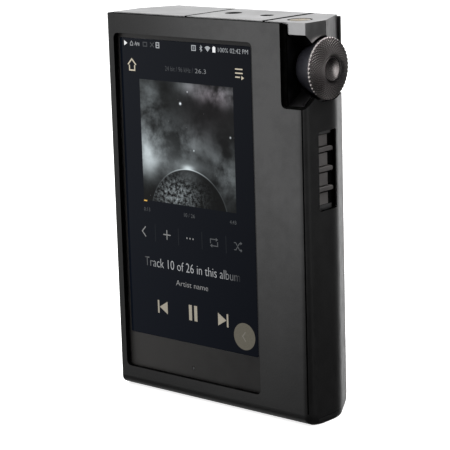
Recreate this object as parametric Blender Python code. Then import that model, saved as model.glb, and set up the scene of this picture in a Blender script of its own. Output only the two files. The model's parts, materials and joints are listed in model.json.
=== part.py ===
"""A digital audio player in its open-topped leather case, as separate pieces.

Sizes are in millimetres: x to the right, y from the case's front to its back, and z up
from the ground. `at` turns them into the frame, which is in metres with its origin
under the middle of the object.
"""

import math

import bmesh
import bpy
from mathutils import Vector

MM = 0.001
PLANE_OF = {"x": (1, 2), "y": (0, 2), "z": (0, 1)}
ARC_STEPS = 10                  # straight pieces in each of the leather's arcs
OUTSIDE = -10.0                 # cutters start and end out here, clear of the object
BEYOND = 160.0

# The leather case, outside.
CASE_LEFT = -1.4
CASE_RIGHT = 90.45
CASE_DEPTH = 31.75
CASE_TOP = 140.95
SHOULDER_Y = 17.4               # where the straight side turns into the rear chamfer
SHOULDER_RADIUS = 16.0
FRONT_CORNER_RADIUS = 3.0
SMALL_CORNER_RADIUS = 1.2       # the left front corner, and the right one's inside
BACK_CORNER_RADIUS = 0.5
CHAMFER_RUN = 8.6               # how far the chamfer comes in by the back
FRONT_LEATHER = 1.8
LEFT_LEATHER = 1.6
RIGHT_LEATHER = 1.4
CHAMFER_LEATHER = 0.8
PANEL_RIGHT = 81.5              # the back panel lies between the wrap's two ends
PANEL_EAR = (82.2, 114.4)       # its wider upper corner, beside the metal: right and bottom
PANEL_FRONT = 30.5
PANEL_TOP = 140.6
LINING = (9.5, 79.5, 30.1, 30.35, 4.0, 139.0)  # left, right, front, back, bottom, top
BOTTOM_LEATHER = 2.2
FOLD_RADIUS = 4.6               # the front leather folds under the bottom
SEAM = 0.15                     # gap between two pieces of the case
# The foot of the case draws in: height, inset, and radius of the right front corner.
FOOT = ((0.0, 0.5, 8.5), (0.6, 0.3, 7.0), (1.6, 0.12, 6.0), (3.2, 0.02, 4.5), (5.0, -0.05, 3.0))
WINDOW = (1.9, 67.88, 8.06, 133.88)     # left, right, bottom, top
NOTCH_LEFT = 80.36
NOTCH_BOTTOM = 112.08
NOTCH_RADIUS = 2.0
NOTCH_ARC = (237.5, 270.0)      # the part of the wheel's circle that the notch follows
SIDE_SLOT = (7.4, 18.1, 75.95, 103.65)  # front, back, bottom, top
CHARGING_OPENING = (6.5, 3.0, 2.9)      # half width, half depth, corner radius
CARD_OPENING = (6.8, 2.5, 1.5)

# The player's body.
BODY_LEFT = 0.4
BODY_FRONT = 2.15
BODY_RIGHT = 88.3
BODY_BACK = 29.95
BODY_BOTTOM = 2.4
BODY_TOP = 141.25
BLOCK_RIGHT = 89.9              # the block around the wheel is flush with the leather
BLOCK_SHOULDER_Y = 13.3
CHAMFER_BACK_X = 81.8
LEFT_CHAMFER_SHIFT = 0.1        # the left chamfer lies this much further out
BODY_CHAMFER_SLOPE = (BLOCK_RIGHT - CHAMFER_BACK_X) / (BODY_BACK - BLOCK_SHOULDER_Y)
COVER_THICKNESS = 1.05
GAP = 0.1                       # clearance around a piece let into the body
SCREEN_WALL = (4.75, 5.75)      # the wall between the screen and the boards, front to back
FRONT_RECESS = (2.2, 67.2, 2.65, 134.9)
SCREEN = (3.07, 65.46, 21.1, 131.94)    # the lit screen: left, right, bottom, top
FRONT_PLATE = 0.8               # thickness of the front plate and of the cover glass
LIGHT_X, LIGHT_Z = 33.9, 11.6
CAVITY = (10.0, 79.6, 4.9, 138.4)
LEFT_CAVITY = (4.4, 13.0, 130.0)        # its far side, bottom and top
RIGHT_CAVITY = (85.7, 13.0, 108.0)
SIDE_CAVITY_DEPTH = 15.0
RIBBON_SLOT = (30.0, 42.0, 27.5, 29.5)
BOSS = 6.5                      # corner left solid for a cover screw
BOARD_FRONT = 9.0
BOARD_THICKNESS = 1.2
BOARD_SCREWS_X = (14.5, 75.0)
BOARD_SCREWS_Z = (26.0, 96.5)
SCREW_RADII = (0.7, 1.35)       # shank and head
SCREW_HOLE = 0.85
SCREW_SINK = 1.55               # radius of a countersink

# The volume wheel, its shaft along x.
WHEEL_Y = 12.05
WHEEL_Z = 125.0
WHEEL_INNER_X = 82.75
WHEEL_RIM_X = 92.7
WHEEL_FACE_X = 93.25
WHEEL_INNER_RADIUS = 7.0
WHEEL_RIM_RADIUS = 10.8
DISH_RADIUS = 4.0
DISH_DEPTH = 1.0
CAP_BACK = 2.1                  # from the wheel's face to the back of its cap
POCKET_X = 82.2
POCKET_INNER_RADIUS = 7.75
POCKET_RIM_RADIUS = 11.2
SHAFT_RADIUS = 1.5
SHAFT_START = 72.2
SHAFT_ROOM = 1.85               # radius of the bores the shaft runs through
# The pocket's flat walls: their place at the body's front, and how they close in behind it.
POCKET_LEFT = (81.8, 0.171)
POCKET_LOW = (112.65, 0.765)
POCKET_HIGH = (137.15, -0.845)
POCKET_FLAT_BACK = 8.1
ENCODER = (69.5, 77.7, 6.2, 17.9, 119.2, 130.9)
COLLAR_ROOM = (73.4, 75.8, 3.9)         # start, end and radius
COLLAR = (74.2, 75.4, 3.5)

# The sockets in the top, by their centres.
PHONES_X, PHONES_Y = 45.0, 17.5
BALANCED_X, BALANCED_Y = 61.4, 16.4
SOCKET_X, SOCKET_Y = 80.6, 10.8
SOCKET_RADIUS = 4.3
SOCKET_FLOOR = 135.4
SOCKET_WALL = 0.6
SOCKET_PIN_CIRCLE = 2.8
JACK_BODY = (124.5, 138.2)
COLLAR_BOTTOM = 138.9

# The three side buttons, by the height of their middles.
BUTTON_HEIGHTS = {"next_button": 96.9, "play_button": 89.97, "previous_button": 83.04}
BUTTON_FRONT = 6.0
BUTTON_BACK = 17.2
BUTTON_HALF = 0.82
BUTTON_GAP = 0.5
BUTTON_FACE = 88.85
BUTTON_ROOT = 85.2
PANEL_SEAT = 87.3
PANEL_FACE = 88.5
PANEL_SPAN = (77.5, 102.2)
PANEL_DEPTHS = (5.0, 14.4, 18.6)        # its front, its back, the back of its seat

STRIPS_X = (35.9, 71.8)         # the dark strips across the top
STRIP_HALF = 0.4
STRIP_BOTTOM = 139.85
CHARGING_X = 45.2
CARD_X = 66.0
PORT_Y = 15.9

MIDDLE_X = (CASE_LEFT + WHEEL_FACE_X) / 2
MIDDLE_Y = CASE_DEPTH / 2


def clear_scene():
    """Remove whatever the scene holds."""
    for old in list(bpy.data.objects):
        bpy.data.objects.remove(old, do_unlink=True)


def at(x, y, z):
    """Turn millimetres from the case's corner into metres in the frame."""
    return Vector((x - MIDDLE_X, y - MIDDLE_Y, z)) * MM


def on_plane(axis, along, first, second):
    """A point in the plane across an axis, as a point of the frame."""
    point = [0.0, 0.0, 0.0]
    point["xyz".index(axis)] = along
    point[PLANE_OF[axis][0]] = first
    point[PLANE_OF[axis][1]] = second
    return at(*point)


def finish_named(name, colour, roughness, metallic=0.0):
    """A Principled material with a colour, a roughness and a metallic value."""
    material = bpy.data.materials.new(name)
    material.use_nodes = True
    shader = material.node_tree.nodes["Principled BSDF"]
    shader.inputs["Base Color"].default_value = (*colour, 1.0)
    shader.inputs["Roughness"].default_value = roughness
    shader.inputs["Metallic"].default_value = metallic
    material.diffuse_color = (*colour, 1.0)
    return material


def make_materials():
    """Every finish of the player and its case, by name."""
    return {
        "leather": finish_named("leather", (0.016, 0.016, 0.017), 0.42),
        "lining": finish_named("lining", (0.035, 0.034, 0.034), 0.95),
        "body_metal": finish_named("body_metal", (0.32, 0.32, 0.33), 0.34, 1.0),
        "wheel_metal": finish_named("wheel_metal", (0.21, 0.2, 0.2), 0.3, 1.0),
        "bright_metal": finish_named("bright_metal", (0.72, 0.71, 0.69), 0.22, 1.0),
        "button_metal": finish_named("button_metal", (0.2, 0.185, 0.18), 0.4, 1.0),
        "front_grey": finish_named("front_grey", (0.045, 0.043, 0.042), 0.35),
        "black_plastic": finish_named("black_plastic", (0.02, 0.02, 0.021), 0.5),
        "glass": finish_named("glass", (0.012, 0.016, 0.02), 0.06),
        "screen": finish_named("screen", (0.02, 0.03, 0.04), 0.2),
        "board": finish_named("board", (0.012, 0.06, 0.04), 0.5),
        "shield": finish_named("shield", (0.55, 0.55, 0.54), 0.35, 1.0),
        "gold": finish_named("gold", (0.83, 0.62, 0.26), 0.25, 1.0),
        "battery": finish_named("battery", (0.1, 0.1, 0.11), 0.5),
        "foam": finish_named("foam", (0.05, 0.05, 0.055), 0.95),
        "light": finish_named("light", (0.75, 0.78, 0.8), 0.3),
        "flex": finish_named("flex", (0.45, 0.2, 0.03), 0.45),
    }


def named_object(name, bm, material, origin=None):
    """Make an object from a mesh in the frame, with its origin at a point."""
    bmesh.ops.recalc_face_normals(bm, faces=bm.faces)
    if origin is None:
        low = [min(vert.co[i] for vert in bm.verts) for i in range(3)]
        high = [max(vert.co[i] for vert in bm.verts) for i in range(3)]
        origin = (Vector(low) + Vector(high)) / 2
    bmesh.ops.translate(bm, verts=bm.verts, vec=-origin)
    mesh = bpy.data.meshes.new(name)
    bm.to_mesh(mesh)
    bm.free()
    if material:
        mesh.materials.append(material)
    piece = bpy.data.objects.new(name, mesh)
    piece.location = origin
    bpy.context.scene.collection.objects.link(piece)
    return piece


def add_box(bm, low, high):
    """Add a box between two corners to a mesh."""
    cube = bmesh.ops.create_cube(bm, size=1.0)["verts"]
    bottom, top = at(*low), at(*high)
    bmesh.ops.scale(bm, verts=cube, vec=top - bottom)
    bmesh.ops.translate(bm, verts=cube, vec=(top + bottom) / 2)


def box(name, low, high, material=None, origin=None):
    """A box between two corners."""
    bm = bmesh.new()
    add_box(bm, low, high)
    return named_object(name, bm, material, origin)


def rounded(corners, steps=5):
    """An outline of (first, second, radius) corners, each turned into an arc."""
    outline = []
    for index, (first, second, radius) in enumerate(corners):
        corner = Vector((first, second))
        if radius == 0:
            outline.append((first, second))
            continue
        before = (Vector(corners[index - 1][:2]) - corner).normalized()
        after = (Vector(corners[(index + 1) % len(corners)][:2]) - corner).normalized()
        half = before.angle(after) / 2
        centre = corner + (before + after).normalized() * radius / math.sin(half)
        reach = radius / math.tan(half)
        start = corner + before * reach - centre
        end = corner + after * reach - centre
        turn = math.atan2(start.x * end.y - start.y * end.x, start.dot(end))
        heading = math.atan2(start.y, start.x)
        for step in range(steps + 1):
            angle = heading + turn * step / steps
            outline.append((centre.x + radius * math.cos(angle),
                            centre.y + radius * math.sin(angle)))
    return outline


def rectangle(low_first, high_first, low_second, high_second, radius=0.0, steps=5):
    """The outline of a rectangle with rounded corners."""
    return rounded([(low_first, low_second, radius), (high_first, low_second, radius),
                    (high_first, high_second, radius), (low_first, high_second, radius)], steps)


def add_prism(bm, axis, outline, start, end):
    """Add an outline pushed along an axis from start to end to a mesh."""
    face = bm.faces.new([bm.verts.new(on_plane(axis, start, a, b)) for a, b in outline])
    pushed = bmesh.ops.extrude_face_region(bm, geom=[face])
    moved = [item for item in pushed["geom"] if isinstance(item, bmesh.types.BMVert)]
    step = Vector((0.0, 0.0, 0.0))
    step["xyz".index(axis)] = (end - start) * MM
    bmesh.ops.translate(bm, verts=moved, vec=step)


def prism(name, axis, outline, start, end, material=None, origin=None):
    """A solid of one outline, pushed along an axis."""
    bm = bmesh.new()
    add_prism(bm, axis, outline, start, end)
    return named_object(name, bm, material, origin)


def stacked(name, axis, levels):
    """A solid through several (distance along the axis, outline) levels, in their order."""
    bm = bmesh.new()
    loops = [[bm.verts.new(on_plane(axis, along, a, b)) for a, b in outline]
             for along, outline in levels]
    bm.faces.new(loops[0])
    bm.faces.new(loops[-1])
    for low, high in zip(loops, loops[1:]):
        for index, corner in enumerate(low):
            following = (index + 1) % len(low)
            bm.faces.new([corner, low[following], high[following], high[index]])
    return named_object(name, bm, None)


def turned(name, axis, centre, profile, material=None, closed=False, segments=48, origin=None):
    """A profile of (along, radius) points turned about an axis through a centre."""
    bm = bmesh.new()
    middle = at(*centre)
    along = Vector([1.0 if letter == axis else 0.0 for letter in "xyz"])
    outward = Vector((0.0, 0.0, 1.0)) if axis == "x" else Vector((1.0, 0.0, 0.0))
    base = middle - along * middle.dot(along)
    shift = Vector((MIDDLE_X, MIDDLE_Y, 0.0)) * MM
    points = []
    for distance, radius in profile:
        level = distance * MM - shift.dot(along)
        points.append(bm.verts.new(base + along * level + outward * radius * MM))
    ends = zip(points, points[1:] + points[:1]) if closed else zip(points, points[1:])
    edges = [bm.edges.new(pair) for pair in ends]
    bmesh.ops.spin(bm, geom=points + edges, cent=middle, axis=along, angle=2 * math.pi,
                   steps=segments, use_merge=True)
    bmesh.ops.remove_doubles(bm, verts=bm.verts, dist=1e-7)
    return named_object(name, bm, material, origin)


def disc(name, axis, centre, radius, start, end, material=None, segments=32, origin=None):
    """A round pin, disc or hole cutter."""
    profile = [(start, 0.0), (start, radius), (end, radius), (end, 0.0)]
    return turned(name, axis, centre, profile, material, segments=segments, origin=origin)


def tube(name, axis, centre, inner, outer, start, end, material, segments=32):
    """A ring with a straight bore."""
    profile = [(start, inner), (start, outer), (end, outer), (end, inner)]
    return turned(name, axis, centre, profile, material, closed=True, segments=segments)


def apply_tool(piece, tool, operation):
    """Cut a tool from a piece, or join it on, and keep the tool out of the model."""
    tool.hide_render = True
    tool.display_type = "WIRE"
    boolean = piece.modifiers.new(tool.name, "BOOLEAN")
    boolean.operation = operation
    boolean.object = tool
    boolean.solver = "EXACT"


def cut(piece, *tools):
    """Cut each tool from a piece."""
    for tool in tools:
        apply_tool(piece, tool, "DIFFERENCE")


def join(piece, *tools):
    """Join each tool on to a piece."""
    for tool in tools:
        apply_tool(piece, tool, "UNION")


def trim(piece, tool):
    """Keep only what lies inside the tool."""
    apply_tool(piece, tool, "INTERSECT")


def screw(name, x, z, tip, seat, end, material):
    """A screw along y at x and z: its tip, the seat of its head and the head's end."""
    shank, head = SCREW_RADII
    return turned(name, "y", (x, seat, z), [
        (tip, 0.0), (tip, shank), (seat, shank), (seat, head), (end, head), (end, 0.0),
    ], material, segments=16)


def mirrored(x):
    """The same distance from the case's right side as x is from its left side."""
    return CASE_LEFT + CASE_RIGHT - x


def chamfer_x(y, offset=0.0):
    """Where the case's right rear chamfer lies at a depth, moved in by an offset."""
    run = CASE_DEPTH - SHOULDER_Y
    length = math.hypot(CHAMFER_RUN, run)
    return CASE_RIGHT - (y - SHOULDER_Y) * CHAMFER_RUN / run - offset * length / run


def chamfer_y(x, offset):
    """The depth at which the moved-in right rear chamfer reaches x."""
    run = CASE_DEPTH - SHOULDER_Y
    return SHOULDER_Y + (chamfer_x(SHOULDER_Y, offset) - x) * run / CHAMFER_RUN


def body_chamfer_x(y):
    """Where the body's right rear chamfer lies at a depth."""
    return BLOCK_RIGHT - (y - BLOCK_SHOULDER_Y) * BODY_CHAMFER_SLOPE


def body_left_chamfer_x(y):
    """Where the body's left rear chamfer lies at a depth."""
    return mirrored(body_chamfer_x(y)) - LEFT_CHAMFER_SHIFT


def wheel_step(extra=0.0):
    """The stepped edge under the wheel, in y and z: the case ends below it."""
    steps = 12
    start, end = NOTCH_ARC
    arc = []
    for step in range(steps + 1):
        angle = math.radians(start + (end - start) * step / steps)
        arc.append((WHEEL_Y + (POCKET_RIM_RADIUS - extra) * math.cos(angle),
                    WHEEL_Z + (POCKET_RIM_RADIUS - extra) * math.sin(angle)))
    shelf = NOTCH_BOTTOM + extra
    return [(OUTSIDE, shelf), (0.6, shelf), *arc, (BEYOND, arc[-1][1])]


def case_outline(inset, right_radius):
    """The case's outline moved in, with a radius for its right front corner."""
    right = CASE_RIGHT - inset
    back = CASE_DEPTH - inset
    shoulder = chamfer_y(right, inset)
    front = min(inset, 0.0)
    return rounded([
        (mirrored(chamfer_x(back, inset)), back, BACK_CORNER_RADIUS),
        (CASE_LEFT + inset, shoulder, SHOULDER_RADIUS),
        (CASE_LEFT + inset, front, SMALL_CORNER_RADIUS),
        (right, front, right_radius),
        (right, shoulder, SHOULDER_RADIUS),
        (chamfer_x(back, inset), back, BACK_CORNER_RADIUS),
    ], ARC_STEPS)


def case_foot():
    """The room that the case keeps to: its foot draws in towards the ground."""
    levels = [(z, case_outline(inset, radius)) for z, inset, radius in FOOT]
    return stacked("foot_room", "z", [(OUTSIDE, levels[0][1]), *levels,
                                      (BEYOND, levels[-1][1])])


def bottom_opening(name, x, sizes):
    """A rounded opening in the bottom panel, under one of the ports."""
    half_width, half_depth, radius = sizes
    outline = rectangle(x - half_width, x + half_width, PORT_Y - half_depth, PORT_Y + half_depth,
                        radius)
    return prism(name, "z", outline, OUTSIDE, BOTTOM_LEATHER + 1.0)


def make_wrap(finish):
    """The leather around the front and both sides, folded under at the front."""
    inner_left = CASE_LEFT + LEFT_LEATHER
    inner_right = CASE_RIGHT - RIGHT_LEATHER
    panel_left = mirrored(PANEL_RIGHT) - SEAM
    panel_right = PANEL_RIGHT + SEAM
    plan = rounded([
        (mirrored(chamfer_x(CASE_DEPTH)), CASE_DEPTH, 0.0),
        (CASE_LEFT, SHOULDER_Y, SHOULDER_RADIUS),
        (CASE_LEFT, 0.0, SMALL_CORNER_RADIUS),
        (CASE_RIGHT, 0.0, FRONT_CORNER_RADIUS),
        (CASE_RIGHT, SHOULDER_Y, SHOULDER_RADIUS),
        (chamfer_x(CASE_DEPTH), CASE_DEPTH, 0.0),
        (panel_right, CASE_DEPTH, 0.0),
        (panel_right, chamfer_y(panel_right, CHAMFER_LEATHER), 0.0),
        (inner_right, chamfer_y(inner_right, CHAMFER_LEATHER), 0.0),
        (inner_right, FRONT_LEATHER, SMALL_CORNER_RADIUS),
        (inner_left, FRONT_LEATHER, 0.0),
        (inner_left, chamfer_y(mirrored(inner_left), CHAMFER_LEATHER), 0.0),
        (panel_left, chamfer_y(mirrored(panel_left), CHAMFER_LEATHER), 0.0),
        (panel_left, CASE_DEPTH, 0.0),
    ], ARC_STEPS)
    wrap = prism("case_wrap", "z", plan, 0.0, CASE_TOP, finish["leather"])
    fold = prism("fold_floor", "z", case_outline(0.0, FRONT_CORNER_RADIUS), 0.0, BOTTOM_LEATHER)
    cut(fold, box("fold_end", (OUTSIDE, FOLD_RADIUS, OUTSIDE), (BEYOND, BEYOND, BEYOND)))
    join(wrap, fold)

    under = [(FOLD_RADIUS * (1 - math.cos(angle)), FOLD_RADIUS * (1 - math.sin(angle)))
             for angle in (math.pi / 2 * step / ARC_STEPS for step in range(ARC_STEPS + 1))]
    cut(wrap,
        prism("fold_cut", "x", [*under, (FOLD_RADIUS, OUTSIDE), (OUTSIDE, OUTSIDE),
                                (OUTSIDE, FOLD_RADIUS)], OUTSIDE, BEYOND),
        box("side_end", (OUTSIDE, FOLD_RADIUS, OUTSIDE),
            (BEYOND, BEYOND, BOTTOM_LEATHER + SEAM)),
        prism("window_cut", "y", rectangle(*WINDOW, radius=2.0), OUTSIDE, SCREEN_WALL[0]),
        prism("notch_cut", "x", [*wheel_step(), (BEYOND, BEYOND), (OUTSIDE, BEYOND)],
              NOTCH_LEFT, BEYOND),
        prism("side_slot_cut", "x", rectangle(*SIDE_SLOT, radius=1.0), 84.0, BEYOND))
    join(wrap, prism("notch_corner", "y", notch_fillet(), 0.0, FRONT_LEATHER))
    trim(wrap, case_foot())


def notch_fillet():
    """The small round piece in the lower left corner of the notch, in x and z."""
    steps = 6
    outline = [(NOTCH_LEFT, NOTCH_BOTTOM)]
    for step in range(steps + 1):
        angle = math.radians(270 - 90 * step / steps)
        outline.append((NOTCH_LEFT + NOTCH_RADIUS * (1 + math.cos(angle)),
                        NOTCH_BOTTOM + NOTCH_RADIUS * (1 + math.sin(angle))))
    return outline


def make_case_panels(finish):
    """The leather bottom and back panels, and the lining inside the back."""
    bottom = prism("case_bottom_panel", "z", case_outline(0.0, FRONT_CORNER_RADIUS), 0.0,
                   BOTTOM_LEATHER, finish["leather"])
    cut(bottom,
        box("fold_room", (OUTSIDE, OUTSIDE, OUTSIDE), (BEYOND, FOLD_RADIUS + SEAM, BEYOND)),
        bottom_opening("charging_cut", CHARGING_X, CHARGING_OPENING),
        bottom_opening("card_cut", CARD_X, CARD_OPENING))
    trim(bottom, case_foot())

    left, low = mirrored(PANEL_RIGHT), BOTTOM_LEATHER + SEAM
    ear_right, ear_low = PANEL_EAR
    prism("case_back_panel", "y", [
        (left, low), (PANEL_RIGHT, low), (PANEL_RIGHT, ear_low), (ear_right, ear_low + 1.0),
        (ear_right, PANEL_TOP), (left, PANEL_TOP),
    ], PANEL_FRONT, CASE_DEPTH, finish["leather"])
    left, right, front, back, low, high = LINING
    box("case_lining", (left, front, low), (right, back, high), finish["lining"])


def make_pocket():
    """The cutters of the pocket that the wheel turns in."""
    levels = []
    for y in (OUTSIDE / 10, POCKET_FLAT_BACK):
        left, low, high = (place + slope * (y - BODY_FRONT)
                           for place, slope in (POCKET_LEFT, POCKET_LOW, POCKET_HIGH))
        levels.append((y, [(left, low), (BEYOND, low), (BEYOND, high), (left, high)]))
    flare = stacked("pocket_flare", "y", levels)
    growth = (POCKET_RIM_RADIUS - POCKET_INNER_RADIUS) / (BLOCK_RIGHT - POCKET_X)
    end = 95.0
    round_part = turned(
        "pocket_round", "x", (POCKET_X, WHEEL_Y, WHEEL_Z),
        [(POCKET_X, 0.0), (POCKET_X, POCKET_INNER_RADIUS),
         (end, POCKET_INNER_RADIUS + growth * (end - POCKET_X)), (end, 0.0)], segments=64)
    bore = disc("pocket_bore", "x", (POCKET_X, WHEEL_Y, WHEEL_Z), 3.5, 78.0, 84.0)
    return flare, round_part, bore


def make_housing(finish):
    """The metal body: one shell with a screen recess, a board cavity and its holes."""
    back = BODY_BACK - COVER_THICKNESS - GAP
    left_shoulder = BLOCK_SHOULDER_Y + (BODY_LEFT - body_left_chamfer_x(BLOCK_SHOULDER_Y)
                                        ) / BODY_CHAMFER_SLOPE
    plan = rounded([
        (BODY_LEFT, BODY_FRONT, 0.3),
        (BLOCK_RIGHT, BODY_FRONT, 0.25),
        (BLOCK_RIGHT, BLOCK_SHOULDER_Y, 0.0),
        (body_chamfer_x(back), back, 0.0),
        (body_left_chamfer_x(back), back, 0.0),
        (BODY_LEFT, left_shoulder, 0.0),
    ], 3)
    body = prism("main_housing", "z", plan, BODY_BOTTOM, BODY_TOP, finish["body_metal"])
    step = wheel_step(0.4)
    cut(body,
        prism("side_relief", "x", [*step, (BEYOND, OUTSIDE), (OUTSIDE, OUTSIDE)], BODY_RIGHT,
              BEYOND),
        prism("front_recess", "y", rectangle(*FRONT_RECESS, radius=1.2), OUTSIDE,
              SCREEN_WALL[0]))

    left, right, low, high = CAVITY
    octagon = [
        (left + BOSS, low), (right - BOSS, low), (right - BOSS, low + BOSS), (right, low + BOSS),
        (right, high - BOSS), (right - BOSS, high - BOSS), (right - BOSS, high),
        (left + BOSS, high), (left + BOSS, high - BOSS), (left, high - BOSS),
        (left, low + BOSS), (left + BOSS, low + BOSS),
    ]
    wall_front, wall_back = SCREEN_WALL
    far_left, left_low, left_high = LEFT_CAVITY
    far_right, right_low, right_high = RIGHT_CAVITY
    slot_left, slot_right, slot_low, slot_high = RIBBON_SLOT
    cut(body,
        prism("board_cavity", "y", octagon, wall_back, BEYOND),
        box("left_cavity", (far_left, wall_back, left_low),
            (left + 1.0, SIDE_CAVITY_DEPTH, left_high)),
        box("right_cavity", (right - 1.0, wall_back, right_low),
            (far_right, SIDE_CAVITY_DEPTH, right_high)),
        box("ribbon_slot", (slot_left, wall_front - 0.75, slot_low),
            (slot_right, wall_back + 1.25, slot_high)))
    cut(body, *make_pocket())

    channel = STRIP_HALF + 1.5 * GAP
    for x in STRIPS_X:
        cut(body, box("strip_channel", (x - channel, OUTSIDE, STRIP_BOTTOM - GAP),
                      (x + channel, BEYOND, BEYOND)))
    cut(body,
        disc("phones_hole", "z", (PHONES_X, PHONES_Y, 140.0), 3.15, 136.0, 145.0),
        disc("balanced_hole", "z", (BALANCED_X, BALANCED_Y, 140.0), 2.5, 136.0, 145.0),
        disc("socket_hole", "z", (SOCKET_X, SOCKET_Y, 140.0), SOCKET_RADIUS + 0.15,
             SOCKET_FLOOR - 0.2, 145.0),
        prism("charging_hole", "z", rectangle(CHARGING_X - 4.65, CHARGING_X + 4.65, PORT_Y - 1.8,
                                              PORT_Y + 1.8, 1.7), OUTSIDE, 7.0),
        box("card_hole", (CARD_X - 5.9, PORT_Y - 0.8, OUTSIDE), (CARD_X + 5.9, PORT_Y + 0.8, 7.0)))

    for height in BUTTON_HEIGHTS.values():
        slot = rectangle(BUTTON_FRONT - 0.3, BUTTON_BACK + 0.6,
                         height - BUTTON_HALF - BUTTON_GAP, height + BUTTON_HALF + BUTTON_GAP)
        cut(body, prism("button_slot", "x", slot, 84.6, BEYOND))
    cut(body,
        box("panel_seat", (PANEL_SEAT, PANEL_DEPTHS[0], PANEL_SPAN[0]),
            (BEYOND, PANEL_DEPTHS[2], PANEL_SPAN[1])),
        disc("light_hole", "y", (LIGHT_X, 4.0, LIGHT_Z), 0.65, 1.0, 7.0, segments=16))
    for x, z in cover_screw_places():
        cut(body, disc("screw_hole", "y", (x, 20.0, z), SCREW_HOLE, 22.0, 35.0, segments=16))
    for x, z in board_screw_places():
        join(body, disc("board_boss", "y", (x, wall_back, z), 1.9, wall_back - 0.5,
                        BOARD_FRONT - 0.05, segments=20))
        cut(body, disc("boss_hole", "y", (x, wall_back, z), SCREW_HOLE, wall_back + 0.3,
                       BOARD_FRONT + 0.5, segments=16))


def cover_screw_places():
    """Where the four screws of the rear cover stand, in x and z."""
    left, right, low, high = CAVITY
    inset = BOSS / 2
    return [(x, z) for x in (left + inset, right - inset) for z in (low + inset, high - inset)]


def board_screw_places():
    """Where the four screws of the mainboard stand, in x and z."""
    return [(x, z) for x in BOARD_SCREWS_X for z in BOARD_SCREWS_Z]


def make_rear_cover(finish):
    """The rear cover and its four countersunk screws."""
    front = BODY_BACK - COVER_THICKNESS
    plan = [(body_left_chamfer_x(front), front), (body_chamfer_x(front), front),
            (body_chamfer_x(BODY_BACK), BODY_BACK), (body_left_chamfer_x(BODY_BACK), BODY_BACK)]
    cover = prism("rear_cover", "z", plan, BODY_BOTTOM, BODY_TOP, finish["body_metal"])
    for number, (x, z) in enumerate(cover_screw_places(), 1):
        seat = BODY_BACK - 0.6
        cut(cover, turned("screw_pass", "y", (x, 29.0, z), [
            (25.0, 0.0), (25.0, SCREW_HOLE), (seat, SCREW_HOLE), (seat, SCREW_SINK),
            (35.0, SCREW_SINK), (35.0, 0.0),
        ], segments=16))
        screw(f"rear_cover_screw_{number}", x, z, 24.0, BODY_BACK - 0.5, BODY_BACK - 0.1,
              finish["bright_metal"])


def make_front(finish):
    """The front plate with its light, the cover glass, and the screen with its ribbon."""
    back = BODY_FRONT + FRONT_PLATE
    left, right, low, high = SCREEN
    recess_left, recess_right, recess_low, recess_high = FRONT_RECESS
    plate = prism("front_plate", "y", rectangle(recess_left + GAP, recess_right - GAP,
                                                recess_low + GAP, recess_high - GAP, 1.1),
                  BODY_FRONT, back, finish["front_grey"])
    cut(plate,
        prism("glass_opening", "y", rectangle(left - GAP, right + GAP, low - GAP, high + GAP,
                                              0.7), 0.0, 5.0),
        disc("light_pass", "y", (LIGHT_X, 3.0, LIGHT_Z), 0.65, 0.0, 5.0, segments=16))
    disc("home_light_lens", "y", (LIGHT_X, 3.0, LIGHT_Z), 0.45, BODY_FRONT + 0.05, 5.0,
         finish["light"], segments=16)
    prism("cover_glass", "y", rectangle(left, right, low, high, 0.6), BODY_FRONT, back,
          finish["glass"])
    box("display_panel", (left, back + GAP, low), (right, SCREEN_WALL[0] - 0.2, high),
        finish["screen"])
    ribbon = [(4.6, 28.3), (8.4, 28.3), (8.4, 34.0), (8.8, 34.0), (8.8, 28.0), (4.6, 28.0)]
    prism("display_ribbon", "x", ribbon, 37.0, 41.0, finish["flex"])


def make_strips(finish):
    """The two dark strips let into the top, from front to back."""
    back = BODY_BACK - COVER_THICKNESS - GAP
    for name, x in zip(("top_strip_left", "top_strip_right"), STRIPS_X):
        box(name, (x - STRIP_HALF, BODY_FRONT + GAP, STRIP_BOTTOM),
            (x + STRIP_HALF, back - GAP, BODY_TOP - GAP), finish["black_plastic"])


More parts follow.
